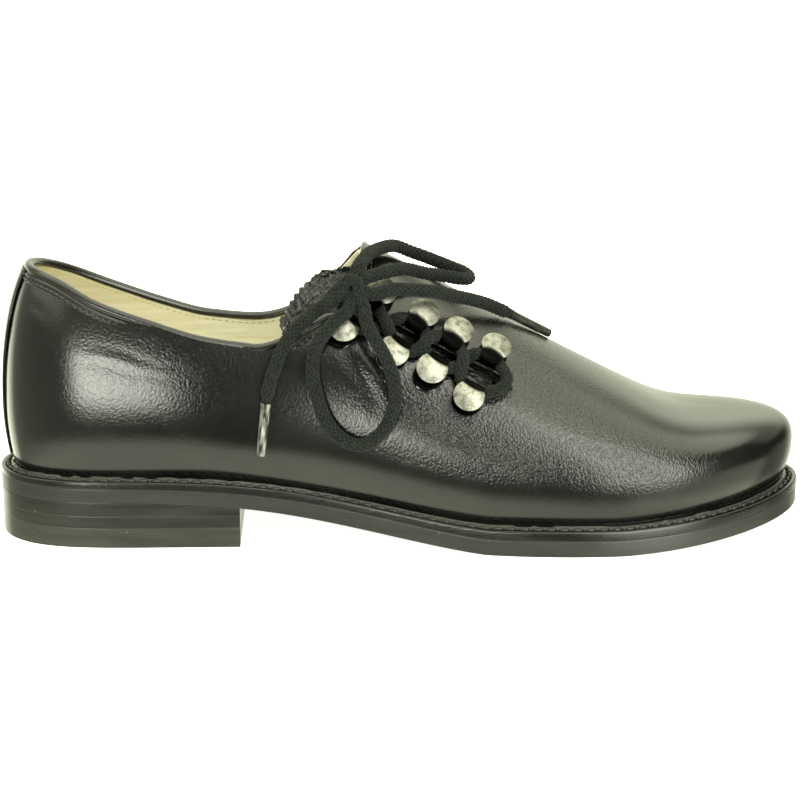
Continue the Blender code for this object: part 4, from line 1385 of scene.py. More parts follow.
        new_piece("topline_binding", mesh, "upper_leather", BINDING_CALF)
        seam = path - self.seam_drop_mm * MM * up + 0.10 * MM * out
        StitchRow("topline_stitches", self.stitch_pitch, 0.0016, 0.0006, 0.0005, 0.12).sew(
            seam[::2], out[::2], False, SEAM_THREAD, "upper_leather"
        )
        inner = path - self.lining_seam_drop_mm * MM * up - self.lining_seam_depth_mm * MM * out
        StitchRow("lining_stitches", self.stitch_pitch, 0.0016, 0.0005, 0.0004).sew(
            inner[::2], -out[::2], False, LINING_THREAD, "insole_leather"
        )

    def build_back_strip(self) -> None:
        """Strip of leather up the back seam, sewn along both edges."""
        last = self.last
        widths = table(
            "arch half",
            (0.020, 0.0026), (0.100, 0.0034), (0.177, 0.0050), (0.207, 0.0062), (0.231, 0.0076),
            (0.264, 0.0082), (0.288, 0.0086), (0.317, 0.0096),
        )
        top = float(last.quarter_top()(np.array(0.0))) - 0.012
        arch = np.linspace(0.02, top, 90)
        half = smooth(widths["arch"], widths["half"])(arch)
        across = np.linspace(-1, 1, 25)
        reach = np.abs(across)[None] * half[:, None]
        station = last.station(np.interp(reach, *self.heel_run()))
        lifted = 0.0004 * (1 - np.abs(across) ** 8)[None] + 0.0001
        over = np.where(across[None] < 0, arch[:, None], 1 - arch[:, None])
        points = last.place(station, over, np.broadcast_to(lifted, over.shape))
        uv = np.stack(np.broadcast_arrays(across[None] * half[:, None], arch[:, None] * ARCH_LENGTH), -1)
        marks = {"grain": np.full(points.shape[:2], 0.1), "gather": np.full(points.shape[:2], 0.03)}
        faces = grid_quads(*points.shape[:2])
        mesh = plain_mesh("strip", points.reshape(-1, 3), faces, Faces.FLIPPED, uv.reshape(-1, 2), marks)
        strip = new_piece("back_strip", mesh, "upper_leather", BINDING_CALF)
        self.thicken(strip, self.strip_wall)
        for label, column in (("lateral", 2), ("medial", -3)):
            line = points[:, column]
            facing = last.normal(station[:, column], over[:, column])
            StitchRow(f"back_strip_stitches_{label}", 0.0021, 0.0014, 0.0005, 0.0004).sew(
                line + 0.05 * MM * facing, facing, False, SEAM_THREAD, "upper_leather"
            )

    def heel_run(self) -> tuple[Array, Array]:
        """Distance round the heel from its back point, and the turn there."""
        turns = np.linspace(0, 0.4, 200)
        line = self.last.edge(turns, 0.0, 0.0)
        return distances(line), turns


@dataclass
class Tongue:
    """Thin leather tongue under the throat with a scalloped free end."""

    last: Last
    rows: int = 110
    columns: int = 100
    depth: float = 0.0029
    wall: float = 0.0013
    scallop_pitch: float = 0.0029
    scallop_depth: float = 0.0012
    ripples: int = 26
    ripple_mm: tuple[float, float] = (1.8, 4.2)
    ripple_height: float = 0.000035
    bend_from: float = 0.45
    scallop_from: float = 0.95
    wave_height: float = 0.0003
    wave_length: float = 0.013
    wave_from: float = 0.7
    slant_from: float = 0.42

    def build(self) -> None:
        """Make and dress the tongue."""
        last = self.last
        share = np.linspace(0, 1, len(TONGUE["lower_arch"]))
        along = 1 - (1 - np.linspace(0, 1, self.rows)) ** 1.5
        edges = {name: smooth(share, column)(along) for name, column in TONGUE.items()}
        across = np.linspace(0, 1, self.columns)
        station = edges["lower_station"][:, None] * (1 - across) + edges["upper_station"][:, None] * across
        arch = edges["lower_arch"][:, None] * (1 - across) + edges["upper_arch"][:, None] * across
        tips = np.linspace(0, 1, len(TONGUE_TIPS["station"]))
        tip_station = smooth(tips, TONGUE_TIPS["station"])(across)
        tip_arch = smooth(tips, TONGUE_TIPS["arch"])(across)
        bend = ease(along, self.bend_from, 1.0)[:, None]
        station = station + bend * (tip_station - station[-1])
        arch = arch + bend * (tip_arch - arch[-1])
        edge = last.place(tip_station, tip_arch, -self.depth)
        run = distances(edge)
        lobe = np.abs(np.sin(math.pi * run / self.scallop_pitch)) ** 0.75 - 0.75
        push = ease(along, self.scallop_from, 1.0)[:, None] * lobe * self.scallop_depth
        station = station - 0.75 * push / last.length
        arch = arch + 0.66 * push / ARCH_LENGTH
        swing = self.wave_height * np.sin(2 * math.pi * run / self.wave_length)
        wave = swing * ease(along, self.wave_from, 1.0)[:, None]
        rng = np.random.default_rng(11)
        draws = [rng.uniform(*limits, self.ripples) for limits in ((0, math.pi), self.ripple_mm, (0, 6.3))]
        for turn, size, shift in zip(*draws):
            way = station * last.length * math.cos(turn) + arch * ARCH_LENGTH * math.sin(turn)
            wave = wave + self.ripple_height * np.sin(2 * math.pi * way / (size * MM) + shift)
        points = last.place(station, arch, -self.depth + wave)
        slant = np.minimum((station - self.slant_from) * last.length, 0.0)
        uv = np.stack([station * last.length, arch * ARCH_LENGTH - slant], -1)
        marks = {"grain": np.full(station.shape, 1.0), "gather": np.full(station.shape, 1.0)}
        faces = grid_quads(*station.shape)
        mesh = plain_mesh("tongue", points.reshape(-1, 3), faces, Faces.FLIPPED, uv.reshape(-1, 2), marks)
        tongue = new_piece("scalloped_tongue", mesh, "upper_leather", TONGUE_CALF)
        Upper.thicken(tongue, self.wall)
        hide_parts("tongue")


@dataclass
class LacingHooks:
    """Eight hooks stamped from strip, each with a domed head bent over a flat base."""

    last: Last
    sheet: float = 0.0009
    base_radius: float = 0.0050
    head_radius: float = 0.0049
    neck_width: float = 0.0068
    mouth: float = 0.0046
    gap: float = 0.0003
    dome: float = 0.0008
    bite: float = 0.0115
    bite_centre: float = 0.01017
    bite_slope: float = 1.1
    curl: float = 0.0017
    rim: float = 0.00022
    tip_degrees: float = 4.0
    columns: int = 21
    washer_sides: int = 48
    washer_shift_mm: float = 0.9

    def seat(self, station: float, arch: float, partner_station: float, partner_arch: float) -> Matrix:
        """Frame of a hook: its head reaches away from its partner across the throat.

        Args:
            station: The hook's station.
            arch: The hook's share of the arch.
            partner_station: The partner's station.
            partner_arch: The partner's share of the arch.

        Returns:
            The matrix from the hook's own frame to the part's.
        """
        here = Vector(self.last.place(station, arch))
        normal = Vector(self.last.normal(station, arch))
        away = here - Vector(self.last.place(partner_station, partner_arch))
        out = (away - away.dot(normal) * normal).normalized()
        frame_of = Matrix((out.cross(normal), out, normal)).transposed().to_4x4()
        frame_of.translation = here
        return frame_of

    def seats(self) -> dict[str, Matrix]:
        """Frames of all hooks by the name of the node each stands for."""
        rows = {"lateral": (LATERAL_HOOKS, MEDIAL_HOOKS), "medial": (MEDIAL_HOOKS, LATERAL_HOOKS)}
        found = {}
        for row, (own, other) in rows.items():
            for i in range(len(own["station"])):
                found[f"hook_{row}_{i + 1}"] = self.seat(
                    own["station"][i], own["arch"][i], other["station"][i], other["arch"][i]
                )
        return found

    def strip(self) -> bpy.types.Mesh:
        """The bent strip: base, neck and domed head, with painted shade stored on the base and the bend and
        at the head's edge next to it.
        """
        half_neck = self.neck_width / 2
        base_chord = math.sqrt(self.base_radius**2 - half_neck**2)
        head_chord = math.sqrt(self.head_radius**2 - half_neck**2)
        low = self.gap + self.sheet / 2
        high = low + self.sheet + self.mouth
        bend = (high - low) / 2
        neck = -head_chord
        base_angle = math.pi - math.asin(half_neck / self.base_radius)
        head_angle = math.pi - math.asin(half_neck / self.head_radius)
        path = []
        # The last number of each path point is painted shade: 1 paints the base and the bend black, 0 leaves
        # the head silver.
        for angle in np.linspace(math.radians(self.tip_degrees), base_angle, 16):
            out = neck + base_chord + self.base_radius * math.cos(angle)
            path.append((out, low, self.base_radius * math.sin(angle), 1.0))
        for angle in np.linspace(0, math.pi, 15)[1:-1]:
            up = low + bend - bend * math.cos(angle)
            path.append((neck - self.curl * math.sin(angle), up, half_neck, 1.0))
        for angle in np.linspace(head_angle, math.radians(self.tip_degrees), 34):
            path.append((self.head_radius * math.cos(angle), high, self.head_radius * math.sin(angle), 0.0))
        points, bend_shade = [], []
        across = np.linspace(-1, 1, self.columns)
        for out, up, half, dark in path:
            for share in across:
                swell = 0.0
                if up >= high - 1e-9:
                    spread = (half * share) ** 2 + out**2
                    swell = self.dome * (1 - spread / self.head_radius**2)
                    # Painted shade: the head turns black at its edge next to the bend.
                    from_neck = math.hypot(half * share, out - neck + self.bite_centre)
                    dark = 1.0 - float(ease(from_neck, self.bite - 0.0003, self.bite + 0.0002))
                    swell -= self.bite_slope * max(self.bite - from_neck, 0.0)
                elif up > low:
                    inside = max(self.bite - math.hypot(half * share, self.bite_centre), 0.0)
                    swell = -self.bite_slope * inside * (up - low) / (high - low)
                points.append((half * share, out, up + swell))
                bend_shade.append(dark)
        faces = grid_quads(len(path), self.columns)
        marks = {"bend_shade": np.array(bend_shade)}
        mesh = plain_mesh("hook", np.array(points), faces, Faces.FLIPPED, marks=marks, sharp=60)
        holder = bpy.data.objects.new("hook", mesh)
        bpy.context.scene.collection.objects.link(holder)
        solid = holder.modifiers.new("sheet", "SOLIDIFY")
        solid.thickness = self.sheet
        solid.offset = 0
        soft = holder.modifiers.new("rim", "BEVEL")
        soft.width = self.rim
        soft.segments = 2
        soft.limit_method = "ANGLE"
        soft.angle_limit = math.radians(50)
        made = bpy.data.meshes.new_from_object(holder.evaluated_get(bpy.context.evaluated_depsgraph_get()))
        bpy.data.objects.remove(holder)
        return made

    def washer(self) -> tuple[Array, list[tuple]]:
        """Enamelled washer under the base, with a raised rim."""
        rings = table(
            "radius height",
            (0.0, 0.30), (3.7, 0.30), (4.0, 0.34), (4.2, 0.62), (4.45, 0.72), (4.7, 0.58),
            (4.75, 0.30), (4.75, -0.6), (0.0, -0.6),
        )
        angles = np.linspace(0, 2 * math.pi, self.washer_sides, endpoint=False)
        radius = rings["radius"][:, None] * MM
        height = np.broadcast_to(rings["height"][:, None] * MM, (len(radius), self.washer_sides))
        points = np.stack([radius * np.cos(angles), radius * np.sin(angles), height], -1)
        return points.reshape(-1, 3), grid_quads(*points.shape[:2], wrap_columns=True)

    def build(self) -> None:
        """Make and dress each hook and the washers under them."""
        strip = self.strip()
        ring_points, ring_faces = self.washer()
        for node, seat in self.seats().items():
            mesh = strip.copy()
            mesh.transform(seat)
            hook = new_piece(f"{node}_plated", mesh, "hook_metal", SILVER)
            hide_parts(node)
            shift = Vector((0.0, WASHER_SHIFTS.get(node, self.washer_shift_mm) * MM, 0.0))
            points = np.array([seat @ (Vector(p) + shift) for p in ring_points])
            mesh = plain_mesh("washer", points, ring_faces, Faces.CLOSED, sharp=40)
            new_piece(f"{node}_washer", mesh, "hook_metal", ENAMEL)
        bpy.data.meshes.remove(strip)


@dataclass
class Lace:
    """One braided lace through the hooks, tied in a bow with two loops, two ends and a wrapped knot."""

    last: Last
    hooks: LacingHooks
    diameter: float = 0.0046
    pulled: float = 0.0042
    aglet: float = 0.0029
    step: float = 0.00036
    sides: int = 44
    strands: int = 8
    cell: float = 0.0020
    relief: float = 0.00055
    slack: float = 0.16
    slack_step: float = 0.003
    cap: float = 0.25
    tail: float = 0.60
    tail_length: float = 0.0035
    aglet_step: float = 0.0004
    knot_share: float = 0.35
    bar_height: float = 0.0036
    crossing_lift: float = 0.0021
    aglet_sides: int = 24

    def braid(self, name: str, path: Array, diameter: float, taper: Array | None = None) -> bpy.types.Mesh:
        """A tube whose surface is a round braid.

        Args:
            name: Name of the mesh.
            path: Evenly spaced ring centres.
            diameter: Outer diameter over the crowns of the strands.
            taper: Share of the diameter at each ring.

        Returns:
            The closed mesh.
        """
        along = tangents(path)
        side = np.cross(along[0], (0.0, 0.0, 1.0))
        sides = [side / np.linalg.norm(side)]
        for ahead in along[1:]:
            turned = sides[-1] - sides[-1].dot(ahead) * ahead
            sides.append(turned / np.linalg.norm(turned))
        side = np.array(sides)
        other = np.cross(along, side)
        run = distances(path)
        angle = np.linspace(0, 2 * math.pi, self.sides, endpoint=False)
        turns = self.strands * angle / (2 * math.pi)
        rng = np.random.default_rng(len(path))
        pulls = np.arange(0, run[-1] + self.slack_step, self.slack_step)
        slack = np.interp(run, pulls, rng.uniform(-self.slack, self.slack, len(pulls)))
        left = turns[None] + (run / self.cell + slack)[:, None]
        right = turns[None] - (run / self.cell - slack)[:, None]
        arc_left, arc_right = np.sin(math.pi * (left % 1)), np.sin(math.pi * (right % 1))
        over = np.floor(left) % 2 == np.floor(right) % 2
        long_way = np.where(over, arc_left, arc_right)
        short_way = np.where(over, arc_right, arc_left)
        crown = long_way**0.45 * short_way**0.8
        size = np.ones(len(path)) if taper is None else taper
        radius = (diameter / 2 - self.relief * (1 - crown)) * size[:, None]
        ring = spokes(angle, side, other)
        points = (path[:, None] + radius[..., None] * ring).reshape(-1, 3)
        faces = grid_quads(len(path), self.sides, wrap_columns=True)
        first = path[0] - along[0] * self.cap * diameter * size[0]
        ends = np.array([first, path[-1] + along[-1] * self.cap * diameter * size[-1]])
        count = len(points)
        last_ring = count - self.sides
        for i in range(self.sides):
            j = (i + 1) % self.sides
            faces += [(i, j, count), (last_ring + j, last_ring + i, count + 1)]
        uv = np.stack(np.broadcast_arrays(angle[None] / (2 * math.pi), run[:, None]), -1).reshape(-1, 2)
        uv = np.concatenate([uv, [[0, 0], [0, run[-1]]]])
        marks = {"crown": np.concatenate([crown.ravel(), [0.3, 0.3]])}
        return plain_mesh(name, np.concatenate([points, ends]), faces, Faces.CLOSED, uv, marks, sharp=80)

    def route(self, rows: Table, before: Array | None = None) -> Array:
        """Ring centres along a route on the upper, with a point added ahead of it."""
        knots = self.last.place(rows["station"], rows["arch"], rows["height"])
        if before is not None:
            knots = np.concatenate([np.atleast_2d(before), knots])
        return even_path(knots, self.step)

    def run_path(self) -> Array:
        """Centres of the lace from the knot through all hooks and back to the knot."""
        seats = self.hooks.seats()
        bar = self.last.place(FRONT_BAR["station"], FRONT_BAR["arch"], self.bar_height)
        knot = self.knot_centre()
        knots = [knot]
        toewards = ("medial_4", "lateral_3", "medial_2", "lateral_1")
        heelwards = ("medial_1", "lateral_2", "medial_3", "lateral_4")
        for way, stops in ((-1.0, toewards), (1.0, heelwards)):
            if stops is heelwards:
                knots.append(bar[1])
            previous = None
            for stop in stops:
                seat = seats["hook_" + stop]
                toe = 1.0 if seat.col[0].x > 0 else -1.0
                turn = [Vector((toe * way * x * MM, y * MM, z * MM)) for x, y, z in HOOK_TURN]
                entry = [np.array(seat @ point) for point in turn]
                if previous is not None:
                    lift = -way * self.crossing_lift * np.array(seat.col[2].xyz)
                    knots.append((previous + entry[0]) / 2 + lift)
                knots += entry
                previous = entry[-1]
        knots.append(knot)
        return even_path(np.array(knots), self.step)

    def knot_centre(self) -> Array:
        """Middle of the bow's knot."""
        return self.last.place(KNOT_STATION, KNOT_ARCH, KNOT_HEIGHT)

    def knot_path(self) -> Array:
        """Centres of the turns that wrap the knot."""
        wrap = table(
            "toewards up out",
            (-6.4, -3.4, -2.6), (-5.2, -2.2, -0.6), (-3.8, -0.8, 1.2), (-2.3, 0.6, 2.2), (-0.7, 1.5, 2.6),
            (0.8, 1.3, 2.6), (1.7, 0.1, 2.3), (1.7, -1.6, 1.6), (0.9, -3.2, 0.2), (-0.3, -4.2, -1.8),
        )
        axes = np.array([(1.0, 0.0, 0.0), (0.0, 0.21, 0.978), (0.0, -0.978, 0.21)])
        return self.knot_centre() + np.stack([wrap["toewards"], wrap["up"], wrap["out"]], -1) * MM @ axes

    def aglet_piece(self, name: str, rows: Table, film: Finish, node: str) -> bpy.types.Object:
        """A film-wrapped lace end with a rolled mouth and a pinched tip."""
        path = even_path(self.last.place(rows["station"], rows["arch"], rows["height"]), self.aglet_step)
        share = np.linspace(0, 1, len(path))
        pinch = np.sqrt(np.clip(1 - (share / 1.001) ** 160, 0, 1))
        radius = self.aglet / 2 * (1.18 - 0.12 * ease(share, 0.0, 0.12) - 0.03 * share) * pinch
        along = tangents(path)
        side = unit(np.cross(along, (0.0, 0.3, 1.0)))
        other = np.cross(along, side)
        sides = self.aglet_sides
        angle = np.linspace(0, 2 * math.pi, sides, endpoint=False)
        seam = 1 + 0.05 * np.exp(-(((angle - 1.0) / 0.25) ** 2))
        ring = spokes(angle, side, other)
        points = path[:, None] + (radius[:, None] * seam[None])[..., None] * ring
        faces = grid_quads(len(path), sides, wrap_columns=True)
        faces.append(tuple(range(sides)))
        faces.append(tuple(range(len(path) * sides - 1, (len(path) - 1) * sides - 1, -1)))
        run = share * path_length(path)
        uv = np.stack(np.broadcast_arrays(angle[None] / (2 * math.pi), run[:, None]), -1).reshape(-1, 2)
        mesh = plain_mesh(name, points.reshape(-1, 3), faces, Faces.CLOSED, uv)
        piece = new_piece(name, mesh, "aglet_plastic", film)
        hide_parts(node)
        return piece

    def build(self) -> None:
        """Make and dress the lace, its knot, loops, ends and aglets."""
        mesh = self.braid("run", self.run_path(), self.pulled)
        through = new_piece("lace_through_hooks", mesh, "lace_cotton", COTTON)
        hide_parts(*[f"lace_crossing_{i}" for i in range(1, 5)])
        knot_path = even_path(self.knot_path(), self.step)
        knot = new_piece("bow_knot", self.braid("knot", knot_path, self.pulled), "lace_cotton", COTTON)
        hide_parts("lace_knot")
        centre = self.knot_centre()
        loops = (
            ("bow_loop_lower", LOWER_LOOP, "lace_loop_lower", [knot]),
            ("bow_loop_upper", UPPER_LOOP, "lace_loop_upper", []),
        )
        for name, rows, node, carried in loops:
            path = self.route(rows)
            into, out = (centre + self.knot_share * (end - centre) for end in (path[0], path[-1]))
            path = even_path(np.concatenate([[into], path[::12], [path[-1], out]]), self.step)
            loop = new_piece(name, self.braid(name, path, self.diameter), "lace_cotton", COTTON)
            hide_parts(node)
            length = path_length(path)
            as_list(carried)
        ends = (
            ("bow_end_front", FRONT_END, "lace_end_front", FRONT_AGLET, DARK_FILM, "aglet_front"),
            ("bow_end_back", BACK_END, "lace_end_back", BACK_AGLET, PAINTED_REFLECTION_AGLET_FILM, "aglet_back"),
        )
        for name, rows, node, aglet_rows, film, aglet_node in ends:
            tip = self.aglet_piece(f"{name}_aglet", aglet_rows, film, aglet_node)
            start = self.last.place(rows["station"][0], rows["arch"][0], rows["height"][0])
            path = self.route(rows, before=centre + self.knot_share * (start - centre))
            length = path_length(path)
            left = (1 - np.linspace(0, 1, len(path))) * length
            taper = self.tail + (1 - self.tail) * ease(left, 0.0, self.tail_length)
            end = new_piece(name, self.braid(name, path, self.diameter, taper), "lace_cotton", COTTON)
            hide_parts(node)


@dataclass
class WeltedSole:
    """Welt with its stitching, outsole and stacked heel."""

    last: Last
    around: int = 440
    stitch_pitch: float = 0.0043
    groove: float = 0.52
    heel_breast: float = 0.292
    heel_taper: float = 0.0003
    top_piece: float = 0.0065
    lower_lift: float = 0.0040
    upper_wall: float = 0.0020
    scuff: float = 0.00022
    scuff_drop: float = 0.00016
    heel_points: int = 90
    breast_points: int = 22

    def rings(self, rows: Sequence[tuple[float, float, float, float]], turns: Array) -> Array:
        """Points round the sole for each row of a profile.

        Args:
            rows: Share of the margin and metres added to it, share of the layer's thickness and metres
                added to it.
            turns: Places round the outline.

        Returns:
            Points by turn and row.
        """
        last = self.last
        low, high, wide = last.welt_under(turns), last.feather(turns), last.margin(turns)
        found = [last.edge(turns, s * wide + m, low + t * (high - low) + z) for s, m, t, z in rows]
        return np.stack(found, 1)

    def build(self) -> None:
        """Make and dress every piece of the sole."""
        self.build_welt()
        self.build_outsole()
        self.build_heel()
        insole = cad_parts["insole"]
        insole.data.materials.clear()
        insole.data.materials.append(LINING.material())

    def build_welt(self) -> None:
        """Welt strip with a stitch groove, and the stitches in it."""
        turns = np.linspace(0, 2, self.around, endpoint=False)
        inner = -self.upper_wall
        rows = (
            (0, inner, 0, 0.00005), (0, inner, 1, -0.0001), (0, -0.0001, 1, -0.0001),
            (0.06, 0, 1, 0.00075), (0.18, 0, 1, 0.00085),
            (0.30, 0, 1, 0.00035), (0.38, 0, 1, -0.00038), (0.46, 0, 1, -0.00050), (0.58, 0, 1, -0.00050),
            (0.66, 0, 1, -0.00036), (0.73, 0, 1, -0.00004), (0.82, 0, 1, 0.00006), (0.92, 0, 1, -0.00004),
            (0.98, 0, 1, -0.00020), (1, 0, 1, -0.00050), (1, 0.00002, 1, -0.00085), (1, 0.00002, 0, 0.00035),
            (1, 0, 0, 0.00012), (1, -0.00004, 0, 0.00006), (1, -0.00015, 0, 0.00004),
        )
        grid = self.rings(rows, turns)
        rng = np.random.default_rng(3)
        scuffs = rng.uniform(-1, 1, self.around // 2 + 2)
        rough = np.interp(np.arange(self.around), np.arange(0, self.around + 4, 2), scuffs)
        scuffed = self.scuff - self.scuff_drop * ease(self.last.station(turns), 0.30, 0.45)
        grid[:, 3:5, 2] += (rough * scuffed)[:, None]
        mesh = plain_mesh("welt", grid.reshape(-1, 3), grid_quads(*grid.shape[:2], True, True), Faces.CLOSED)
        welt = new_piece("stitched_welt", mesh, "sole_leather", WELT_EDGE)
        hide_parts("welt")
        line = self.rings(((self.groove, 0, 1, -0.00005),), turns)[:, 0]
        facing = np.tile((0.0, 0.0, 1.0), (len(line), 1))
        row = StitchRow("welt_stitches", self.stitch_pitch, 0.0041, 0.0014, 0.0015, 0.10)
        row.sew(line, facing, True, WELT_THREAD, "sole_leather")

    def slab(self, name: str, loops: Array) -> bpy.types.Mesh:
        """A closed body from loops of points, capped at both ends across the sole.

        Args:
            name: Name of the mesh.
            loops: Points by loop and place; the first and last loops are capped.

        Returns:
            The mesh.
        """
        levels, count = loops.shape[:2]
        faces = grid_quads(levels, count, wrap_columns=True)
        for start in (0, (levels - 1) * count):
            for i in range(count // 2):
                a, b = start + i, start + i + 1
                c, d = start + (count - i - 1) % count, start + (count - i) % count
                quad = (a, b, c, d)
                faces.append(quad if len(set(quad)) == 4 else tuple(dict.fromkeys(quad)))
        faces = [face for face in faces if len(set(face)) > 2]
        return plain_mesh(name, loops.reshape(-1, 3), faces, Faces.CLOSED, sharp=50)

    def build_outsole(self) -> None:
        """Outsole with a rounded edge."""
        last = self.last
        turns = np.linspace(0, 2, self.around, endpoint=False)
        low, high, wide = last.sole_under(turns), last.welt_under(turns), last.margin(turns)
        rows = (
            (-2.0, 1, -0.02), (-0.20, 1, -0.02), (-0.05, 1, -0.03), (0.0, 1, -0.09), (0.0, 1, -0.35),
            (0.02, 0.5, 0.0), (0.0, 0, 0.55), (-0.01, 0, 0.26), (-0.06, 0, 0.10), (-0.18, 0, 0.02),
            (-0.45, 0, 0.0), (-2.4, 0, 0.0),
        )
        loops = [last.edge(turns, wide + m * MM, low + t * (high - low) + z * MM) for m, t, z in rows]
        mesh = self.slab("outsole", np.stack(loops))
        outsole = new_piece("leather_outsole", mesh, "sole_leather", OUTSOLE_EDGE)
        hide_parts("outsole")

    def heel_loop(self, margin: float, height: Curve | float, inset: float) -> Array:
        """A loop round the heel: the outline as far as the breast, then straight across.

        Args:
            margin: Metres added to the sole's margin.
            height: Height of the loop, one for all turns or a curve over them.
            inset: How far the breast line is set back.

        Returns:
            Points round the loop, the breast's middle half way along it.
        """
        last = self.last
        end = float(last.turn(self.heel_breast))
        half = np.linspace(0, end, self.heel_points)
        front = self.heel_breast * last.length + last.shift[0] - inset
        sides = []
        for turns in (half, 2 - half):
            level = height(turns) if callable(height) else np.full(turns.shape, height)
            line = last.edge(turns, last.margin(turns) + margin, level)
            line[:, 0] = np.minimum(line[:, 0], front)
            line[-1, 0] = front
            sides.append(line)
        lateral, medial = sides
        cross = np.linspace(0, 1, self.breast_points)[1:-1, None]
        breast = lateral[-1] * (1 - cross) + medial[-1] * cross
        return np.concatenate([lateral, breast, medial[:0:-1]])

    def build_heel(self) -> None:
        """Rubber top piece and two leather lifts, tapering to the floor."""
        last = self.last
        stack = float(last.sole_under(np.array(0.0)))
        first = self.top_piece
        second = first + self.lower_lift
        layers = (
            ("heel_top_piece", 0.0, first, "heel_rubber", RUBBER, "heel_rubber_top_piece"),
            ("heel_lift_lower", first, second, "sole_leather", EDGE, "heel_leather_lift"),
            ("heel_lift_upper", second, None, "sole_leather", EDGE, "heel_leather_wedge"),
        )
        for node, low, high, slot, finish, name in layers:
            loops = []
            bottom = ((-2.0, 0.0), (-0.16, 0.0), (-0.03, 0.02), (0.0, 0.08), (0.0, 0.30))
            top = ((0.0, -0.30), (0.0, -0.08), (-0.03, -0.02), (-0.16, -0.01), (-2.0, -0.01))
            for edge, rise in bottom:
                taper = -self.heel_taper * (1 - (low + rise * MM) / stack)
                loops.append(self.heel_loop(taper + edge * MM, low + rise * MM, -edge * MM))
            for edge, rise in top:
                taper = -self.heel_taper * (1 - ((high or stack) + rise * MM) / stack)
                level = high + rise * MM if high else lambda turns, r=rise: last.sole_under(turns) + r * MM
                loops.append(self.heel_loop(taper + edge * MM, level, -edge * MM))
            piece = new_piece(name, self.slab(name, np.stack(loops)), slot, finish)
            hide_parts(node)


@dataclass(frozen=True)
class Panel:
    """A bright panel far off in the studio, by its direction from the shoe in degrees.

    An azimuth of 0 is towards the camera and of 90 towards the toe.
    """

    azimuth: float
    half_width: float
    elevation: float
    half_height: float
    blur: float
    radiance: float


ALL_ROUND = 400.0
# Warm surroundings: ceiling, the lit board under the shoe, then glows at low right, high left, behind the
# heel, and high and low behind the toe; lamps: front right, low left and high in front
WARM_PANELS = (
    Panel(0.0, ALL_ROUND, 90.0, 42.0, 14.0, 2.7),
    Panel(0.0, ALL_ROUND, -90.0, 61.0, 14.0, 1.7),
    Panel(62.0, 36.0, -23.0, 11.0, 10.0, 1.1),
    Panel(-76.0, 34.0, 32.0, 16.0, 12.0, 1.3),
    Panel(-150.0, 20.0, -12.0, 18.0, 10.0, 1.0),
    Panel(140.0, 45.0, 35.0, 16.0, 14.0, 0.6),
    Panel(125.0, 25.0, -14.0, 12.0, 12.0, 0.30),
)
LAMP_PANELS = (
    Panel(30.0, 16.0, 20.0, 34.0, 8.0, 7.6),
    Panel(-23.0, 9.5, 1.0, 4.0, 7.0, 22.0),
    Panel(9.0, 9.0, 37.0, 12.0, 8.0, 4.5),
)


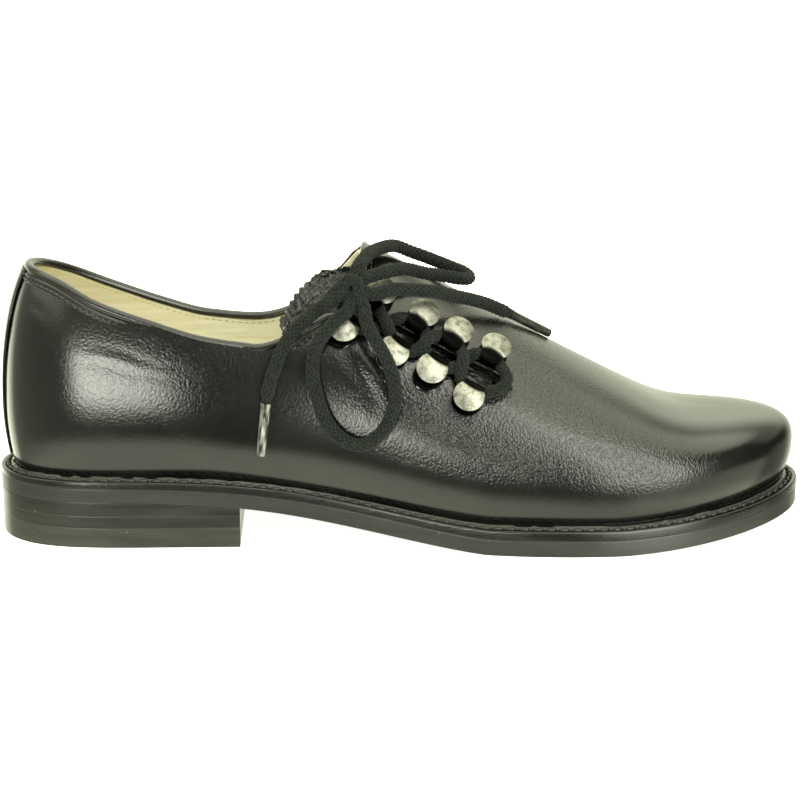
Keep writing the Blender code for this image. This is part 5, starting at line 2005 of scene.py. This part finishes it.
@dataclass
class Studio:
    """White floor, soft light and the camera."""

    eye: tuple[float, float, float] = (-0.0310, -0.6788, 0.1900)
    target: tuple[float, float, float] = (-0.00135, 0.0006, 0.0412)
    focal_pixels: float = 2065.0
    image_pixels: float = 800.0
    sensor: float = 36.0
    floor_half: float = 12.0
    floor_points: int = 9
    near_and_far: tuple[float, float] = (0.01, 100.0)
    front: float = 0.07
    behind: float = 1.12
    left: float = 0.40
    warm: str = "#fdffe2"
    cool: str = "#fcfff0"

    def build(self) -> None:
        """Set up floor, world, lights and camera."""
        scene = bpy.context.scene
        side = np.linspace(-self.floor_half, self.floor_half, self.floor_points)
        x, y = np.meshgrid(side, side, indexing="ij")
        points = np.stack([x, y, np.zeros_like(x)], -1).reshape(-1, 3)
        mesh = plain_mesh("studio_floor", points, grid_quads(*x.shape))
        mesh.materials.append(FLOOR.material())
        floor = bpy.data.objects.new("studio_floor", mesh)
        scene.collection.objects.link(floor)
        floor.visible_glossy = False
        self.build_world()
        data = bpy.data.cameras.new("camera")
        data.sensor_width = self.sensor
        data.lens = self.sensor * self.focal_pixels / self.image_pixels
        data.clip_start, data.clip_end = self.near_and_far
        camera = bpy.data.objects.new("camera", data)
        camera.location = self.eye
        camera.rotation_euler = (Vector(self.target) - Vector(self.eye)).to_track_quat("-Z", "Y").to_euler()
        scene.collection.objects.link(camera)
        scene.camera = camera
        scene.view_settings.view_transform = "Standard"

    def build_world(self) -> None:
        """Warm surroundings, pale behind and dim in front, and the cooler lamps."""
        world = bpy.data.worlds.new("studio")
        bpy.context.scene.world = world
        world.use_nodes = True
        tree = world.node_tree
        way = add(tree, "ShaderNodeTexCoord").outputs["Generated"]
        parts = add(tree, "ShaderNodeSeparateXYZ", {0: way}).outputs
        azimuth = maths(tree, "ARCTAN2", parts["X"], maths(tree, "MULTIPLY", parts["Y"], -1.0))
        elevation = maths(tree, "ARCSINE", parts["Z"])
        behind = rescale(tree, parts["Y"], 0.55, 0.90, self.front, self.behind, "SMOOTHSTEP")
        left = rescale(tree, parts["X"], 0.2, -0.9, 0.0, self.left, "SMOOTHSTEP")
        around = maths(tree, "ADD", behind, left)
        warm = self.panels(tree, azimuth, elevation, WARM_PANELS, around)
        lamps = self.panels(tree, azimuth, elevation, LAMP_PANELS, 0.0)
        board = add(tree, "ShaderNodeBackground", {"Color": linear(self.warm), "Strength": warm})
        light = add(tree, "ShaderNodeBackground", {"Color": linear(self.cool), "Strength": lamps})
        both = add(tree, "ShaderNodeAddShader", {0: board.outputs[0], 1: light.outputs[0]})
        tree.links.new(both.outputs[0], tree.nodes["World Output"].inputs["Surface"])

    @staticmethod
    def panels(
        tree: Tree, azimuth: Socket, elevation: Socket, panels: Sequence[Panel], start: Socket | float
    ) -> Socket:
        """Sum of soft-edged panels over the sphere of directions.

        Args:
            tree: The world's node tree.
            azimuth: Azimuth of the direction.
            elevation: Elevation of the direction.
            panels: The panels.
            start: Radiance to add them to.

        Returns:
            The socket with the radiance.
        """
        total = start
        for panel in panels:
            shares = []
            across = (azimuth, panel.azimuth, panel.half_width)
            upright = (elevation, panel.elevation, panel.half_height)
            for angle, middle, half in (across, upright):
                off = maths(tree, "ABSOLUTE", maths(tree, "SUBTRACT", angle, math.radians(middle)))
                outer, inner = math.radians(half + panel.blur / 2), math.radians(half - panel.blur / 2)
                shares.append(rescale(tree, off, outer, inner, kind="SMOOTHSTEP"))
            total = maths(tree, "MULTIPLY_ADD", maths(tree, "MULTIPLY", *shares), panel.radiance, total)
        return total


def main() -> None:
    """Build the shoe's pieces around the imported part, then the studio."""
    logging.basicConfig(level=logging.INFO, format="%(name)s %(message)s")
    last = Last()
    hooks = LacingHooks(last)
    for sub_assembly in (Upper(last), Tongue(last), hooks, Lace(last, hooks), WeltedSole(last), Studio()):
        LOG.info("building %s", type(sub_assembly).__name__)
        sub_assembly.build()
    bpy.context.view_layer.update()


if __name__ == "__main__":
    main()
